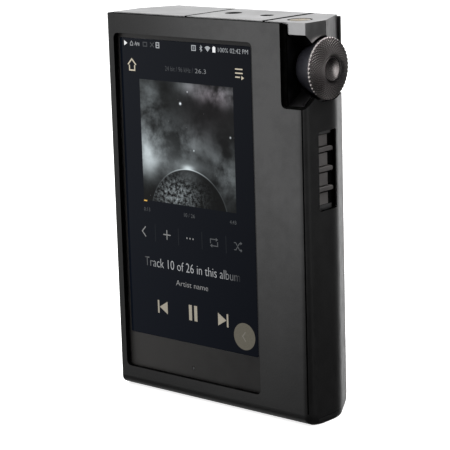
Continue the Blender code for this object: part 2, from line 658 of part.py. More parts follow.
def make_wheel(finish):
    """The volume wheel with its cap, shaft and collar, and the fixed encoder."""
    axis_point = at(WHEEL_INNER_X, WHEEL_Y, WHEEL_Z)
    centre = (WHEEL_INNER_X, WHEEL_Y, WHEEL_Z)
    bore = SHAFT_RADIUS + GAP
    wall = DISH_RADIUS + GAP
    floor = WHEEL_FACE_X - CAP_BACK - GAP
    turned("volume_wheel", "x", centre, [
        (WHEEL_INNER_X, bore), (WHEEL_INNER_X, WHEEL_INNER_RADIUS),
        (WHEEL_RIM_X - 0.9, WHEEL_RIM_RADIUS - 0.12), (WHEEL_RIM_X - 0.5, WHEEL_RIM_RADIUS),
        (WHEEL_RIM_X, WHEEL_RIM_RADIUS - 0.1), (WHEEL_FACE_X, wall + 0.05),
        (WHEEL_FACE_X - 0.9, wall), (floor, wall), (floor, bore),
    ], finish["wheel_metal"], closed=True, segments=64, origin=axis_point)

    cap_back = WHEEL_FACE_X - CAP_BACK
    dish = [(cap_back, 0.0), (cap_back, DISH_RADIUS)]
    rings = 4
    for step in range(rings + 1):
        share = 1 - step / rings
        depth = DISH_DEPTH * (1 - share ** 2)
        dish.append((WHEEL_FACE_X - GAP / 2 - depth, DISH_RADIUS * share))
    turned("wheel_cap", "x", centre, dish, finish["wheel_metal"], segments=48, origin=axis_point)
    disc("wheel_shaft", "x", centre, SHAFT_RADIUS, SHAFT_START, floor - GAP / 2,
         finish["bright_metal"], segments=24, origin=axis_point)
    turned("wheel_bushing", "x", centre, [
        (77.9, SHAFT_ROOM), (77.9, 4.6), (79.3, 4.6), (79.3, 3.3), (82.0, 3.3),
        (82.0, SHAFT_ROOM),
    ], finish["bright_metal"], closed=True, segments=32)

    left, right, front, back, low, high = ENCODER
    room_start, room_end, room_radius = COLLAR_ROOM
    encoder = box("wheel_encoder", (left, front, low), (right, back, high),
                  finish["black_plastic"])
    cut(encoder,
        disc("encoder_bore", "x", centre, SHAFT_ROOM, SHAFT_START - 0.6, 80.0, segments=24),
        disc("collar_room", "x", centre, room_radius, room_start, room_end, segments=32),
        box("collar_door", (room_start, WHEEL_Y - room_radius, WHEEL_Z),
            (room_end, WHEEL_Y + room_radius, high + 1.0)))
    collar_start, collar_end, collar_radius = COLLAR
    tube("wheel_collar", "x", centre, SHAFT_RADIUS + 2 * GAP, collar_radius, collar_start,
         collar_end, finish["gold"])


def make_buttons(finish):
    """The three side buttons, the panel around them, and their switches."""
    front, back, _ = PANEL_DEPTHS
    bottom, top = PANEL_SPAN
    panel = box("button_panel", (PANEL_SEAT + GAP, front + 2 * GAP, bottom + 2 * GAP),
                (PANEL_FACE, back, top - 2 * GAP), finish["button_metal"])
    for name, height in BUTTON_HEIGHTS.items():
        low, high = height - BUTTON_HALF, height + BUTTON_HALF
        cut(panel, box(name + "_gap", (86.0, 3.0, low - BUTTON_GAP),
                       (90.0, 16.0, high + BUTTON_GAP)))
    join(panel, box("panel_rail", (PANEL_SEAT + 1.5 * GAP, front + 2 * GAP, bottom + 3 * GAP),
                    (PANEL_FACE - GAP / 2, BUTTON_FRONT - 0.25, top - 3 * GAP)))
    for name, height in BUTTON_HEIGHTS.items():
        low, high = height - BUTTON_HALF, height + BUTTON_HALF
        bar = rounded([(BUTTON_FRONT, low, 0.0), (BUTTON_BACK, low, 0.78),
                       (BUTTON_BACK, high, 0.78), (BUTTON_FRONT, high, 0.0)], 4)
        button = prism(name, "x", bar, BUTTON_ROOT, BUTTON_FACE, finish["button_metal"])
        tail = [(BUTTON_BACK - 2.0, low - 1), (BUTTON_BACK + 1.0, low - 1),
                (BUTTON_BACK + 1.0, high + 1), (BUTTON_BACK - 2.0, high + 1)]
        cut(button, prism(name + "_heel", "x", tail, 83.0, 86.9))
        box(name.replace("button", "switch"), (82.7, 8.6, height - 1.5),
            (84.75, 12.6, height + 1.5), finish["black_plastic"])
    box("side_button_board", (81.9, 7.4, 77.5), (82.5, 13.8, 102.5), finish["flex"])


def make_top_sockets(finish):
    """The three sockets in the top: a collar and a body each, and the large one's pins."""
    jacks = (("headphone_jack", PHONES_X, PHONES_Y, 2.95, 1.8, 3.9),
             ("balanced_jack", BALANCED_X, BALANCED_Y, 2.3, 1.35, 3.2))
    for name, x, y, outer, inner, half in jacks:
        tube(name + "_collar", "z", (x, y, BODY_TOP), inner, outer, COLLAR_BOTTOM,
             BODY_TOP - GAP / 2, finish["black_plastic"])
        bottom, top = JACK_BODY
        jack = box(name + "_body", (x - half, y - half, bottom), (x + half, y + half, top),
                   finish["black_plastic"])
        cut(jack, disc(name + "_bore", "z", (x, y, top), inner, bottom + 1.5, 142.0))
    floor = SOCKET_FLOOR
    mouth = SOCKET_RADIUS - SOCKET_WALL
    centre = (SOCKET_X, SOCKET_Y, BODY_TOP)
    turned("large_socket_shell", "z", centre, [
        (floor, 0.0), (floor, SOCKET_RADIUS), (BODY_TOP - GAP, SOCKET_RADIUS),
        (BODY_TOP + GAP / 2, SOCKET_RADIUS - 0.2), (BODY_TOP - GAP, mouth),
        (floor + 0.4, mouth), (floor + 0.4, 0.0),
    ], finish["bright_metal"], segments=48)
    insert = disc("large_socket_contacts", "z", centre, mouth - 0.2, floor + 0.5, floor + 0.9,
                  finish["gold"])
    for quarter in range(4):
        angle = quarter * math.pi / 2
        x = SOCKET_X + SOCKET_PIN_CIRCLE * math.cos(angle)
        y = SOCKET_Y + SOCKET_PIN_CIRCLE * math.sin(angle)
        join(insert, disc("socket_pin", "z", (x, y, 137.0), 0.35, floor + 0.6, 139.2,
                          segments=12))


def make_bottom_ports(finish):
    """The charging port with its tongue, the card reader and the memory card."""
    base = 2.6
    port = prism("charging_port", "z", rectangle(CHARGING_X - 4.45, CHARGING_X + 4.45,
                                                 PORT_Y - 1.6, PORT_Y + 1.6, 1.5),
                 base, 10.4, finish["bright_metal"])
    cut(port, prism("port_mouth", "z", rectangle(CHARGING_X - 4.15, CHARGING_X + 4.15,
                                                 PORT_Y - 1.28, PORT_Y + 1.28, 1.2), 0.0, 9.2))
    box("charging_port_tongue", (CHARGING_X - 3.3, PORT_Y - 0.35, 3.6),
        (CHARGING_X + 3.3, PORT_Y + 0.35, 9.0), finish["black_plastic"])
    reader = box("card_reader", (CARD_X - 6.9, PORT_Y - 1.5, 5.3),
                 (CARD_X + 6.9, PORT_Y + 1.5, 21.0), finish["shield"])
    cut(reader, box("reader_mouth", (CARD_X - 5.9, PORT_Y - 0.75, 0.0),
                    (CARD_X + 5.9, PORT_Y + 0.75, 18.6)))
    card_outline = [(CARD_X - 5.5, 3.0), (CARD_X + 5.5, 3.0), (CARD_X + 5.5, 18.0),
                    (CARD_X - 4.0, 18.0), (CARD_X - 4.0, 14.0), (CARD_X - 5.5, 12.5)]
    prism("memory_card", "y", card_outline, PORT_Y - 0.4, PORT_Y + 0.4,
          finish["black_plastic"], origin=at(CARD_X, PORT_Y, 3.0))


def make_boards(finish):
    """The boards, their shields, parts and screws, the aerial, and the battery."""
    board_back = BOARD_FRONT + BOARD_THICKNESS
    board = box("mainboard", (11.5, BOARD_FRONT, 22.5), (78.0, board_back, 100.0),
                finish["board"])
    for number, (x, z) in enumerate(board_screw_places(), 1):
        cut(board, disc("board_hole", "y", (x, 9.0, z), SCREW_HOLE, 6.0, 13.0, segments=16))
        screw(f"mainboard_screw_{number}", x, z, SCREEN_WALL[1] + 0.6, board_back + 0.05,
              board_back + 0.6, finish["bright_metal"])
    shields = (("processor_shield", 18.0, 44.0, 62.0, 92.0),
               ("memory_shield", 48.0, 70.0, 66.0, 92.0),
               ("radio_shield", 18.0, 34.0, 30.0, 54.0),
               ("power_shield", 44.0, 70.0, 30.0, 58.0))
    for name, left, right, low, high in shields:
        box(name, (left, 6.6, low), (right, BOARD_FRONT - 0.1, high), finish["shield"])
    box("audio_board", (17.5, 23.4, 99.0), (68.5, 24.6, 136.0), finish["board"])
    box("audio_shield", (20.0, 24.7, 104.0), (60.0, 27.2, 130.0), finish["shield"])
    for number, x in enumerate((20.0, 29.0), 1):
        disc(f"audio_capacitor_{number}", "y", (x, 20.0, 108.0), 3.4, 16.5, 23.3,
             finish["gold"], segments=24)
    box("aerial", (14.0, 11.5, 117.0), (34.0, 11.8, 131.5), finish["flex"])
    box("battery", (13.5, 13.5, 23.5), (77.5, 26.6, 97.0), finish["battery"])
    box("battery_foam", (18.0, 26.8, 30.0), (73.0, 28.6, 90.0), finish["foam"])


def main():
    """Build every piece."""
    clear_scene()
    finish = make_materials()
    make_wrap(finish)
    make_case_panels(finish)
    make_housing(finish)
    make_rear_cover(finish)
    make_front(finish)
    make_strips(finish)
    make_wheel(finish)
    make_buttons(finish)
    make_top_sockets(finish)
    make_bottom_ports(finish)
    make_boards(finish)


main()
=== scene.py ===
"""The looks of a digital audio player in its open-topped leather case.

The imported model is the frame. Pieces here take their places from its nodes, in metres.
Sizes written in this file are in millimetres, times MM.
"""

import json
import math

import bmesh
import bpy
from mathutils import Matrix, Vector


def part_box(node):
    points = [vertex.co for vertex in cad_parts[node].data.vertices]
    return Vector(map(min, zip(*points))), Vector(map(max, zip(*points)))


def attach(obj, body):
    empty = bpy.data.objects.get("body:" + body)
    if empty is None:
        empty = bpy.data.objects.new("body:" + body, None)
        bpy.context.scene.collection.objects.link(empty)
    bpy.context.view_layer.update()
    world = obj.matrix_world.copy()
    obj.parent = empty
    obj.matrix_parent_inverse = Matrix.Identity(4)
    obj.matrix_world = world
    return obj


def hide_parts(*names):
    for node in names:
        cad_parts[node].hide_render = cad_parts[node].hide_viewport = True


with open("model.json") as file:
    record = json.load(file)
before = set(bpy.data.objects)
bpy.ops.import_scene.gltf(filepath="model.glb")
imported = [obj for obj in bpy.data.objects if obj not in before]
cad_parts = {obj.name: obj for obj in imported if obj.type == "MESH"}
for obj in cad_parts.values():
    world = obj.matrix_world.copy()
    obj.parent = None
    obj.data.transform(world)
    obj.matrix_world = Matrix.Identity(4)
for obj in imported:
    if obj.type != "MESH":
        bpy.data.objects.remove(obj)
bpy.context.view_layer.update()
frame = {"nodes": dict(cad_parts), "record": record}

MM = 0.001
NODES = frame["nodes"]
BODY_OF = {node: body for body, members in frame["record"]["behaviour"]["bodies"].items()
           for node in members}
SLOT_OF = {name: piece.data.materials[0].name.split(".")[0] for name, piece in NODES.items()}
SCENE = bpy.context.scene


# ---------------------------------------------------------------- materials

def new_material(name, colour, roughness, metallic=0.0, specular=0.5):
    """A Principled material, and its node tree and shader."""
    material = bpy.data.materials.new(name)
    material.use_nodes = True
    tree = material.node_tree
    shader = tree.nodes["Principled BSDF"]
    shader.inputs["Base Color"].default_value = (*colour, 1.0)
    shader.inputs["Roughness"].default_value = roughness
    shader.inputs["Metallic"].default_value = metallic
    shader.inputs["Specular IOR Level"].default_value = specular
    material.diffuse_color = (*colour, 1.0)
    return material, tree, shader


def coordinates(tree, kind="Object"):
    """Object coordinates in metres, or Generated ones from 0 to 1 across the piece."""
    return tree.nodes.new("ShaderNodeTexCoord").outputs[kind]


def place(tree, scale=(1.0, 1.0, 1.0)):
    """Object coordinates stretched by a scale."""
    mapping = tree.nodes.new("ShaderNodeMapping")
    mapping.inputs["Scale"].default_value = scale
    put(tree, coordinates(tree), mapping.inputs["Vector"])
    return mapping.outputs["Vector"]


def parts_of(tree, vector):
    """The x, y and z of a vector."""
    node = tree.nodes.new("ShaderNodeSeparateXYZ")
    put(tree, vector, node.inputs["Vector"])
    return [node.outputs[axis] for axis in "XYZ"]


def flat_vector(tree, x, y):
    """A vector from its x and y."""
    node = tree.nodes.new("ShaderNodeCombineXYZ")
    put(tree, x, node.inputs["X"])
    put(tree, y, node.inputs["Y"])
    return node.outputs["Vector"]


def clouds(tree, vector, scale, detail=3.0, roughness=0.5, distortion=0.0):
    """A noise texture's value."""
    node = tree.nodes.new("ShaderNodeTexNoise")
    node.inputs["Scale"].default_value = scale
    node.inputs["Detail"].default_value = detail
    node.inputs["Roughness"].default_value = roughness
    node.inputs["Distortion"].default_value = distortion
    put(tree, vector, node.inputs["Vector"])
    return node.outputs["Fac"]


def cells(tree, vector, scale, feature="F1", smooth=None):
    """A Voronoi texture's distance."""
    node = tree.nodes.new("ShaderNodeTexVoronoi")
    node.feature = feature
    node.inputs["Scale"].default_value = scale
    if smooth is not None:
        node.inputs["Smoothness"].default_value = smooth
    put(tree, vector, node.inputs["Vector"])
    return node.outputs["Distance"]


def put(tree, value, socket):
    """Link a value, or set a number."""
    if isinstance(value, (int, float)):
        socket.default_value = value
    else:
        tree.links.new(value, socket)


def maths(tree, operation, first, second=0.0):
    """One Math node's result."""
    node = tree.nodes.new("ShaderNodeMath")
    node.operation = operation
    for value, socket in zip((first, second), node.inputs):
        put(tree, value, socket)
    return node.outputs["Value"]


def between(tree, value, low, high, out_low=0.0, out_high=1.0, smooth=False):
    """A value moved from one range to another, and held there."""
    node = tree.nodes.new("ShaderNodeMapRange")
    if smooth:
        node.interpolation_type = "SMOOTHSTEP"
    put(tree, value, node.inputs["Value"])
    node.inputs["From Min"].default_value = low
    node.inputs["From Max"].default_value = high
    node.inputs["To Min"].default_value = out_low
    node.inputs["To Max"].default_value = out_high
    return node.outputs["Result"]


def blend_colours(tree, factor, first, second):
    """A mix of two colours, each a colour or a node's output."""
    node = tree.nodes.new("ShaderNodeMix")
    node.data_type = "RGBA"
    put(tree, factor, node.inputs["Factor"])
    for value, socket in ((first, node.inputs["A"]), (second, node.inputs["B"])):
        if isinstance(value, tuple):
            socket.default_value = (*value, 1.0)
        else:
            put(tree, value, socket)
    return node.outputs["Result"]


def total(tree, *values):
    """The sum of several values."""
    result = values[0]
    for value in values[1:]:
        result = maths(tree, "ADD", result, value)
    return result


def times(tree, *values):
    """The product of several values."""
    result = values[0]
    for value in values[1:]:
        result = maths(tree, "MULTIPLY", result, value)
    return result


def relief(tree, height, strength, distance, before=None):
    """A bump from a height, on top of an earlier one."""
    node = tree.nodes.new("ShaderNodeBump")
    node.inputs["Strength"].default_value = strength
    node.inputs["Distance"].default_value = distance
    put(tree, height, node.inputs["Height"])
    if before is not None:
        put(tree, before, node.inputs["Normal"])
    return node.outputs["Normal"]


# Where the leather's painted light, paler towards its right front and top, starts and ends across
# or up it, and its levels there.
PAINTED_LIGHT_ACROSS = (0.0, 0.75, 0.0, 1.0)
PAINTED_LIGHT_SIDE_FALL = (0.975, 0.995, 1.0, 0.15)
PAINTED_LIGHT_UP = (-0.05, 0.75, 0.05, 1.0)
PAINTED_LIGHT_RIGHT_SIDE = (0.975, 0.995, 0.0, 0.15)   # painted light around the right side


def leather_material(name, dark, light, roughness):
    """Smooth black calf leather: pebbled grain, pores and soft creases, with painted light that
    makes it paler towards its right front, its top and around its right side.
    """
    material, tree, shader = new_material(name, dark, roughness, specular=0.4)
    where = place(tree)
    broad = clouds(tree, where, 55.0, 3.0)
    patches = clouds(tree, where, 240.0, 4.0, 0.6)
    grain = cells(tree, where, 1500.0, "SMOOTH_F1", 0.35)
    pores = clouds(tree, where, 4200.0, 2.0)
    across, _, up = parts_of(tree, coordinates(tree, "Generated"))
    # Painted light: the leather is paler towards its right front, its top and around its right
    # side.
    painted_light = times(tree, between(tree, across, *PAINTED_LIGHT_ACROSS, smooth=True),
                 between(tree, across, *PAINTED_LIGHT_SIDE_FALL, smooth=True),
                 between(tree, up, *PAINTED_LIGHT_UP, smooth=True))
    painted_light = total(tree, painted_light, between(tree, across, *PAINTED_LIGHT_RIGHT_SIDE, smooth=True))
    tone = between(tree, total(tree, broad, patches), 0.75, 1.3, 0.8, 1.15)
    put(tree, blend_colours(tree, times(tree, painted_light, tone), dark, light),
        shader.inputs["Base Color"])
    gloss = between(tree, total(tree, patches, times(tree, grain, 0.35)),
                    0.35, 0.95, roughness - 0.07, roughness + 0.1)
    put(tree, gloss, shader.inputs["Roughness"])
    normal = relief(tree, broad, 0.22, 0.5 * MM)
    normal = relief(tree, patches, 0.12, 0.12 * MM, normal)
    normal = relief(tree, grain, 0.35, 0.06 * MM, normal)
    normal = relief(tree, pores, 0.18, 0.02 * MM, normal)
    put(tree, normal, shader.inputs["Normal"])
    shader.inputs["Coat Weight"].default_value = 0.12
    shader.inputs["Coat Roughness"].default_value = 0.3
    return material


def cut_edge_material():
    """The painted cut edges of the leather: flat and dark, with fine ridges."""
    material, tree, shader = new_material("cut_edge", (0.003, 0.003, 0.003), 0.8, specular=0.0)
    where = place(tree)
    ridges = clouds(tree, place(tree, (1.0, 6.0, 1.0)), 900.0, 3.0)
    tone = between(tree, clouds(tree, where, 420.0), 0.35, 0.65)
    put(tree, blend_colours(tree, tone, (0.002, 0.002, 0.002), (0.005, 0.005, 0.0048)),
        shader.inputs["Base Color"])
    put(tree, relief(tree, ridges, 0.3, 0.05 * MM), shader.inputs["Normal"])
    return material


def lining_material():
    """Short charcoal microfibre."""
    material, tree, shader = new_material("lining", (0.03, 0.029, 0.029), 0.95, specular=0.2)
    where = place(tree)
    nap = clouds(tree, where, 3800.0, 3.0)
    brushed = clouds(tree, place(tree, (1.0, 1.0, 0.35)), 260.0, 3.0)
    tone = between(tree, total(tree, nap, brushed), 0.7, 1.3)
    put(tree, blend_colours(tree, tone, (0.018, 0.0175, 0.0175), (0.055, 0.053, 0.052)),
        shader.inputs["Base Color"])
    put(tree, relief(tree, nap, 0.5, 0.08 * MM), shader.inputs["Normal"])
    shader.inputs["Sheen Weight"].default_value = 0.35
    shader.inputs["Sheen Roughness"].default_value = 0.4
    return material


def blasted_metal(name, dark, light, roughness, depth):
    """Bead-blasted and anodised metal: fine grain, cloudy tone and faint handling marks."""
    material, tree, shader = new_material(name, dark, roughness, 1.0)
    where = place(tree)
    fine = clouds(tree, where, 5200.0, 2.0)
    cloudy = clouds(tree, where, 130.0, 4.0, 0.6)
    rubbed = clouds(tree, place(tree, (1.0, 1.0, 0.2)), 620.0, 3.0, 0.65)
    tone = between(tree, total(tree, cloudy, times(tree, fine, 0.4)), 0.45, 0.95)
    put(tree, blend_colours(tree, tone, dark, light), shader.inputs["Base Color"])
    gloss = between(tree, total(tree, cloudy, rubbed), 0.7, 1.3,
                    roughness - 0.05, roughness + 0.06)
    put(tree, gloss, shader.inputs["Roughness"])
    put(tree, relief(tree, fine, depth, 0.012 * MM), shader.inputs["Normal"])
    return material


def turned_metal(name, dark, light, roughness, centre):
    """Metal finished on a lathe: rings about an axis along x, and a faint bloom."""
    material, tree, shader = new_material(name, dark, roughness, 1.0)
    along, y, z = parts_of(tree, coordinates(tree))
    across = maths(tree, "SUBTRACT", y, centre.y)
    up = maths(tree, "SUBTRACT", z, centre.z)
    radius = maths(tree, "SQRT", total(tree, times(tree, across, across), times(tree, up, up)))
    rings = clouds(tree, flat_vector(tree, radius, along), 7000.0, 3.0, 0.7)
    bloom = clouds(tree, place(tree), 300.0)
    tone = between(tree, total(tree, bloom, times(tree, rings, 0.5)), 0.5, 1.0)
    put(tree, blend_colours(tree, tone, dark, light), shader.inputs["Base Color"])
    put(tree, between(tree, rings, 0.3, 0.7, roughness - 0.04, roughness + 0.06),
        shader.inputs["Roughness"])
    put(tree, relief(tree, rings, 0.3, 0.006 * MM), shader.inputs["Normal"])
    return material


def plastic_material(name, dark, light, roughness, specular, spark=2600.0, depth=0.3,
                     painted_light_left=None):
    """Moulded plastic with a fine spark-eroded texture, with painted light that makes it paler
    towards its left when a colour for that is given.
    """
    material, tree, shader = new_material(name, dark, roughness, specular=specular)
    where = place(tree)
    fine = clouds(tree, where, spark)
    broad = clouds(tree, where, 180.0)
    colour = blend_colours(tree, between(tree, broad, 0.35, 0.65), dark, light)
    # Painted light: the colour turns paler towards the left.
    if painted_light_left:
        across = parts_of(tree, coordinates(tree, "Generated"))[0]
        colour = blend_colours(tree, between(tree, across, 0.0, 0.9), painted_light_left, colour)
    put(tree, colour, shader.inputs["Base Color"])
    put(tree, between(tree, fine, 0.3, 0.7, roughness - 0.06, roughness + 0.08),
        shader.inputs["Roughness"])
    put(tree, relief(tree, fine, depth, 0.02 * MM), shader.inputs["Normal"])
    return material


def glass_material():
    """Coated cover glass over a black panel that gives off a faint blue glow, with a painted
    reflection that makes it paler towards the left.
    """
    material, tree, shader = new_material("glass", (0.001, 0.001, 0.001), 0.05, specular=0.1)
    where = place(tree)
    smears = clouds(tree, place(tree, (1.0, 1.0, 0.45)), 75.0, 4.0, 0.6)
    dust = clouds(tree, where, 2400.0, 2.0)
    gloss = between(tree, total(tree, smears, times(tree, dust, 0.2)), 0.5, 0.95, 0.045, 0.11)
    put(tree, gloss, shader.inputs["Roughness"])
    low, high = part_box("cover_glass")
    across = between(tree, parts_of(tree, where)[0], low.x, high.x)
    # The panel's faint blue glow, with a painted reflection: greyer and paler towards the left,
    # navy towards the right.
    glow_and_painted_reflection = blend_colours(tree, across, (0.0030, 0.0045, 0.0085), (0.0002, 0.0012, 0.0040))
    put(tree, glow_and_painted_reflection, shader.inputs["Emission Color"])
    shader.inputs["Emission Strength"].default_value = 1.0
    return material


def board_material():
    """Solder mask over faint copper tracks."""
    material, tree, shader = new_material("board", (0.01, 0.05, 0.035), 0.42)
    tracks = cells(tree, place(tree), 420.0)
    lines = between(tree, maths(tree, "SINE", times(tree, tracks, 26.0)), -0.2, 0.4)
    put(tree, blend_colours(tree, lines, (0.008, 0.042, 0.03), (0.018, 0.085, 0.055)),
        shader.inputs["Base Color"])
    put(tree, relief(tree, lines, 0.4, 0.03 * MM), shader.inputs["Normal"])
    return material


def foam_material():
    """Closed-cell foam."""
    material, tree, shader = new_material("foam", (0.04, 0.04, 0.044), 0.95, specular=0.2)
    bubbles = cells(tree, place(tree), 1900.0)
    tone = between(tree, bubbles, 0.1, 0.7)
    put(tree, blend_colours(tree, tone, (0.02, 0.02, 0.022), (0.07, 0.07, 0.075)),
        shader.inputs["Base Color"])
    put(tree, relief(tree, bubbles, 0.6, 0.15 * MM), shader.inputs["Normal"])
    return material


# Each finish's darker and lighter colour, roughness and depth of grain.
METALS = {
    "body_metal": ((0.4, 0.4, 0.405), (0.5, 0.5, 0.505), 0.33, 0.25),
    "knurl_metal": ((0.19, 0.174, 0.173), (0.25, 0.23, 0.226), 0.15, 0.08),
    # Painted shade: the dark metal of the wheel's pocket.
    "pocket_painted_shade_metal": ((0.03, 0.029, 0.031), (0.05, 0.048, 0.05), 0.36, 0.25),
    "bright_metal": ((0.62, 0.61, 0.59), (0.78, 0.77, 0.75), 0.2, 0.1),
    "button_metal": ((0.4, 0.38, 0.375), (0.5, 0.475, 0.465), 0.5, 0.25),
    "shield": ((0.45, 0.45, 0.44), (0.62, 0.62, 0.6), 0.3, 0.25),
    "gold": ((0.75, 0.53, 0.2), (0.86, 0.66, 0.3), 0.25, 0.12),
}
# The same, with the level of reflection at the end.
PLASTICS = {
    # Black for the large socket's rim, and painted shade around the side keys.
    "black_rim_and_painted_shade": ((0.006, 0.006, 0.006), (0.012, 0.012, 0.012), 0.6, 0.0),
    "black_plastic": ((0.005, 0.005, 0.0055), (0.01, 0.01, 0.0105), 0.6, 0.0),
    # Painted shade: the dark cone behind the wheel's rim.
    "wheel_back_painted_shade": ((0.022, 0.022, 0.029), (0.032, 0.032, 0.041), 0.4, 0.5),
    # A pale sleeve: its pale colour is a painted reflection inside the large socket.
    "pale_sleeve_painted_reflection": ((0.74, 0.73, 0.71), (0.82, 0.81, 0.79), 0.3, 0.5),
    "screen": ((0.01, 0.012, 0.016), (0.016, 0.02, 0.026), 0.25, 0.5),
    "battery": ((0.07, 0.07, 0.08), (0.12, 0.12, 0.13), 0.42, 0.5),
    "light": ((0.075, 0.078, 0.08), (0.1, 0.103, 0.105), 0.3, 0.5),
    "flex": ((0.3, 0.13, 0.02), (0.42, 0.2, 0.04), 0.4, 0.5),
}


def make_materials():
    """Every finish by the name of the record's slot, and a few of this file's own."""
    wheel_low, wheel_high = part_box("volume_wheel")
    finish = {
        "leather": leather_material("leather", (0.003, 0.003, 0.0032), (0.11, 0.11, 0.111),
                                    0.43),
        "cut_edge": cut_edge_material(),
        "lining": lining_material(),
        "wheel_metal": turned_metal("wheel_metal", (0.44, 0.4, 0.4), (0.54, 0.5, 0.49),
                                    0.24, (wheel_low + wheel_high) / 2),
        # The front plate's painted light: paler towards its left.
        "front_grey": plastic_material("front_grey", (0.014, 0.0135, 0.0132),
                                       (0.02, 0.0192, 0.019), 0.34, 0.3, 5200.0, 0.12,
                                       painted_light_left=(0.05, 0.048, 0.046)),
        "glass": glass_material(),
        "board": board_material(),
        "foam": foam_material(),
    }
    for name, values in METALS.items():
        finish[name] = blasted_metal(name, *values)
    for name, values in PLASTICS.items():
        finish[name] = plastic_material(name, *values)
    return finish


FINISH = make_materials()


# ---------------------------------------------------------------- pieces

def add_piece(name, bm, body, slot, material=None, smooth=True):
    """Put a bmesh in the scene as a piece that rides on a body."""
    piece = bpy.data.objects.new(name, mesh_from(bm, name, smooth))
    piece.data.materials.append(material or FINISH[slot])
    SCENE.collection.objects.link(piece)
    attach(piece, body)
    return piece


def mesh_from(bm, name, smooth=True):
    """Turn a bmesh into a mesh."""
    bmesh.ops.recalc_face_normals(bm, faces=bm.faces)
    for face in bm.faces:
        face.smooth = smooth
    mesh = bpy.data.meshes.new(name)
    bm.to_mesh(mesh)
    bm.free()
    return mesh


def node_mesh(node):
    """A clean copy of a node's shape, with flat faces whole again."""
    source = NODES[node].data
    bm = bmesh.new()
    corners = [bm.verts.new(vert.co) for vert in source.vertices]
    for polygon in source.polygons:
        bm.faces.new([corners[index] for index in polygon.vertices])
    bmesh.ops.remove_doubles(bm, verts=bm.verts, dist=1e-6)
    bmesh.ops.dissolve_limit(bm, angle_limit=math.radians(1.0), verts=bm.verts, edges=bm.edges)
    return bm


def round_edges(piece, width, segments=3, sharp=35.0):
    """Round every edge of a piece that is sharper than an angle."""
    bevel = piece.modifiers.new("rounded_edges", "BEVEL")
    bevel.width = width
    bevel.segments = segments
    bevel.limit_method = "ANGLE"
    bevel.angle_limit = math.radians(sharp)
    bevel.miter_outer = "MITER_ARC"
    bevel.harden_normals = True
    return bevel


def softened(node, width, segments=3, sharp=35.0):
    """A piece in a node's place, the same shape with rounded edges."""
    piece = add_piece(node + "_soft", node_mesh(node), BODY_OF[node], SLOT_OF[node])
    round_edges(piece, width, segments, sharp)
    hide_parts(node)
    return piece


def add_finishes(piece, *names):
    """Give a piece more finishes, for single faces to use."""
    for name in names:
        piece.data.materials.append(FINISH[name])


def paint_frame():
    """Give every node of the frame the finish of its slot."""
    for name, node in NODES.items():
        node.data.materials.clear()
        add_finishes(node, SLOT_OF[name])


def close_between(bm, first, second):
    """Close a solid between two rings of corners."""
    bm.faces.new(first)
    bm.faces.new(list(reversed(second)))
    for index in range(len(first)):
        after = (index + 1) % len(first)
        bm.faces.new([first[index], second[index], second[after], first[after]])


# The leather's outside is nearer the sides than SIDE_LEATHER, the sides turn in behind
# REAR_SHOULDER, and the front leather folds under the bottom within FOLD.
SIDE_LEATHER = 1.2 * MM
REAR_SHOULDER = 17.4 * MM
FOLD = 4.65 * MM


def wrap_finish(polygon, low, high):
    """The finish of a face of the wrap: 0 for the outside, 1 for the lining, 2 for an edge."""
    normal, centre = polygon.normal, polygon.center
    rear = centre.y > low.y + REAR_SHOULDER
    if max(centre.z - low.z, centre.y - low.y) < FOLD and normal.z < -0.05:
        return 0
    if abs(normal.z) > 0.5:
        return 2
    if normal.y > 0.9:
        return 1
    if normal.y < -0.9:
        return 0
    near_side = min(centre.x - low.x, high.x - centre.x) < SIDE_LEATHER
    if not near_side and not rear:
        return 2
    inwards = normal.x * (centre.x - (low.x + high.x) / 2) < 0
    return 1 if inwards else 0


def make_case():
    """The leather wrap, bottom and back, with rounded edges."""
    wrap = softened("case_wrap", 0.22 * MM, 4, 24.0)
    low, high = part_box("case_wrap")
    add_finishes(wrap, "lining", "cut_edge")
    for polygon in wrap.data.polygons:
        polygon.material_index = wrap_finish(polygon, low, high)
    for node in ("case_bottom_panel", "case_back_panel"):
        softened(node, 0.4 * MM, 4)


# The painted-shade strip's sides, from the wrap's right, front and top.
SHADE_STRIP_FROM_RIGHT = (10.4 * MM, 8.35 * MM)
SHADE_STRIP_FROM_FRONT = (1.4 * MM, 2.0 * MM)
SHADE_STRIP_FROM_TOP = (28.4 * MM, 0.3 * MM)


def make_notch_shade_strip():
    """A thin dark strip inside the notch's left edge, in front of the metal: painted shade beside
    the leather's dark cut edge.
    """
    low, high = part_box("case_wrap")
    left, right = (high.x - gap for gap in SHADE_STRIP_FROM_RIGHT)
    front, back = (low.y + gap for gap in SHADE_STRIP_FROM_FRONT)
    outline = ((left, front), (right, front), (right, back), (left, back))
    bm = bmesh.new()
    lower, upper = ([bm.verts.new((x, y, high.z - gap)) for x, y in outline]
                    for gap in SHADE_STRIP_FROM_TOP)
    close_between(bm, lower, upper)
    # Painted shade: a dark strip laid over the metal's front beside the notch.
    shade_strip = add_piece("case_notch_shade_strip", bm, BODY_OF["case_wrap"], "leather",
                        FINISH["cut_edge"])
    round_edges(shade_strip, 0.2 * MM)


def inside_of(point, low, high):
    """Whether a point is within a box."""
    return all(low[axis] < point[axis] < high[axis] for axis in range(3))


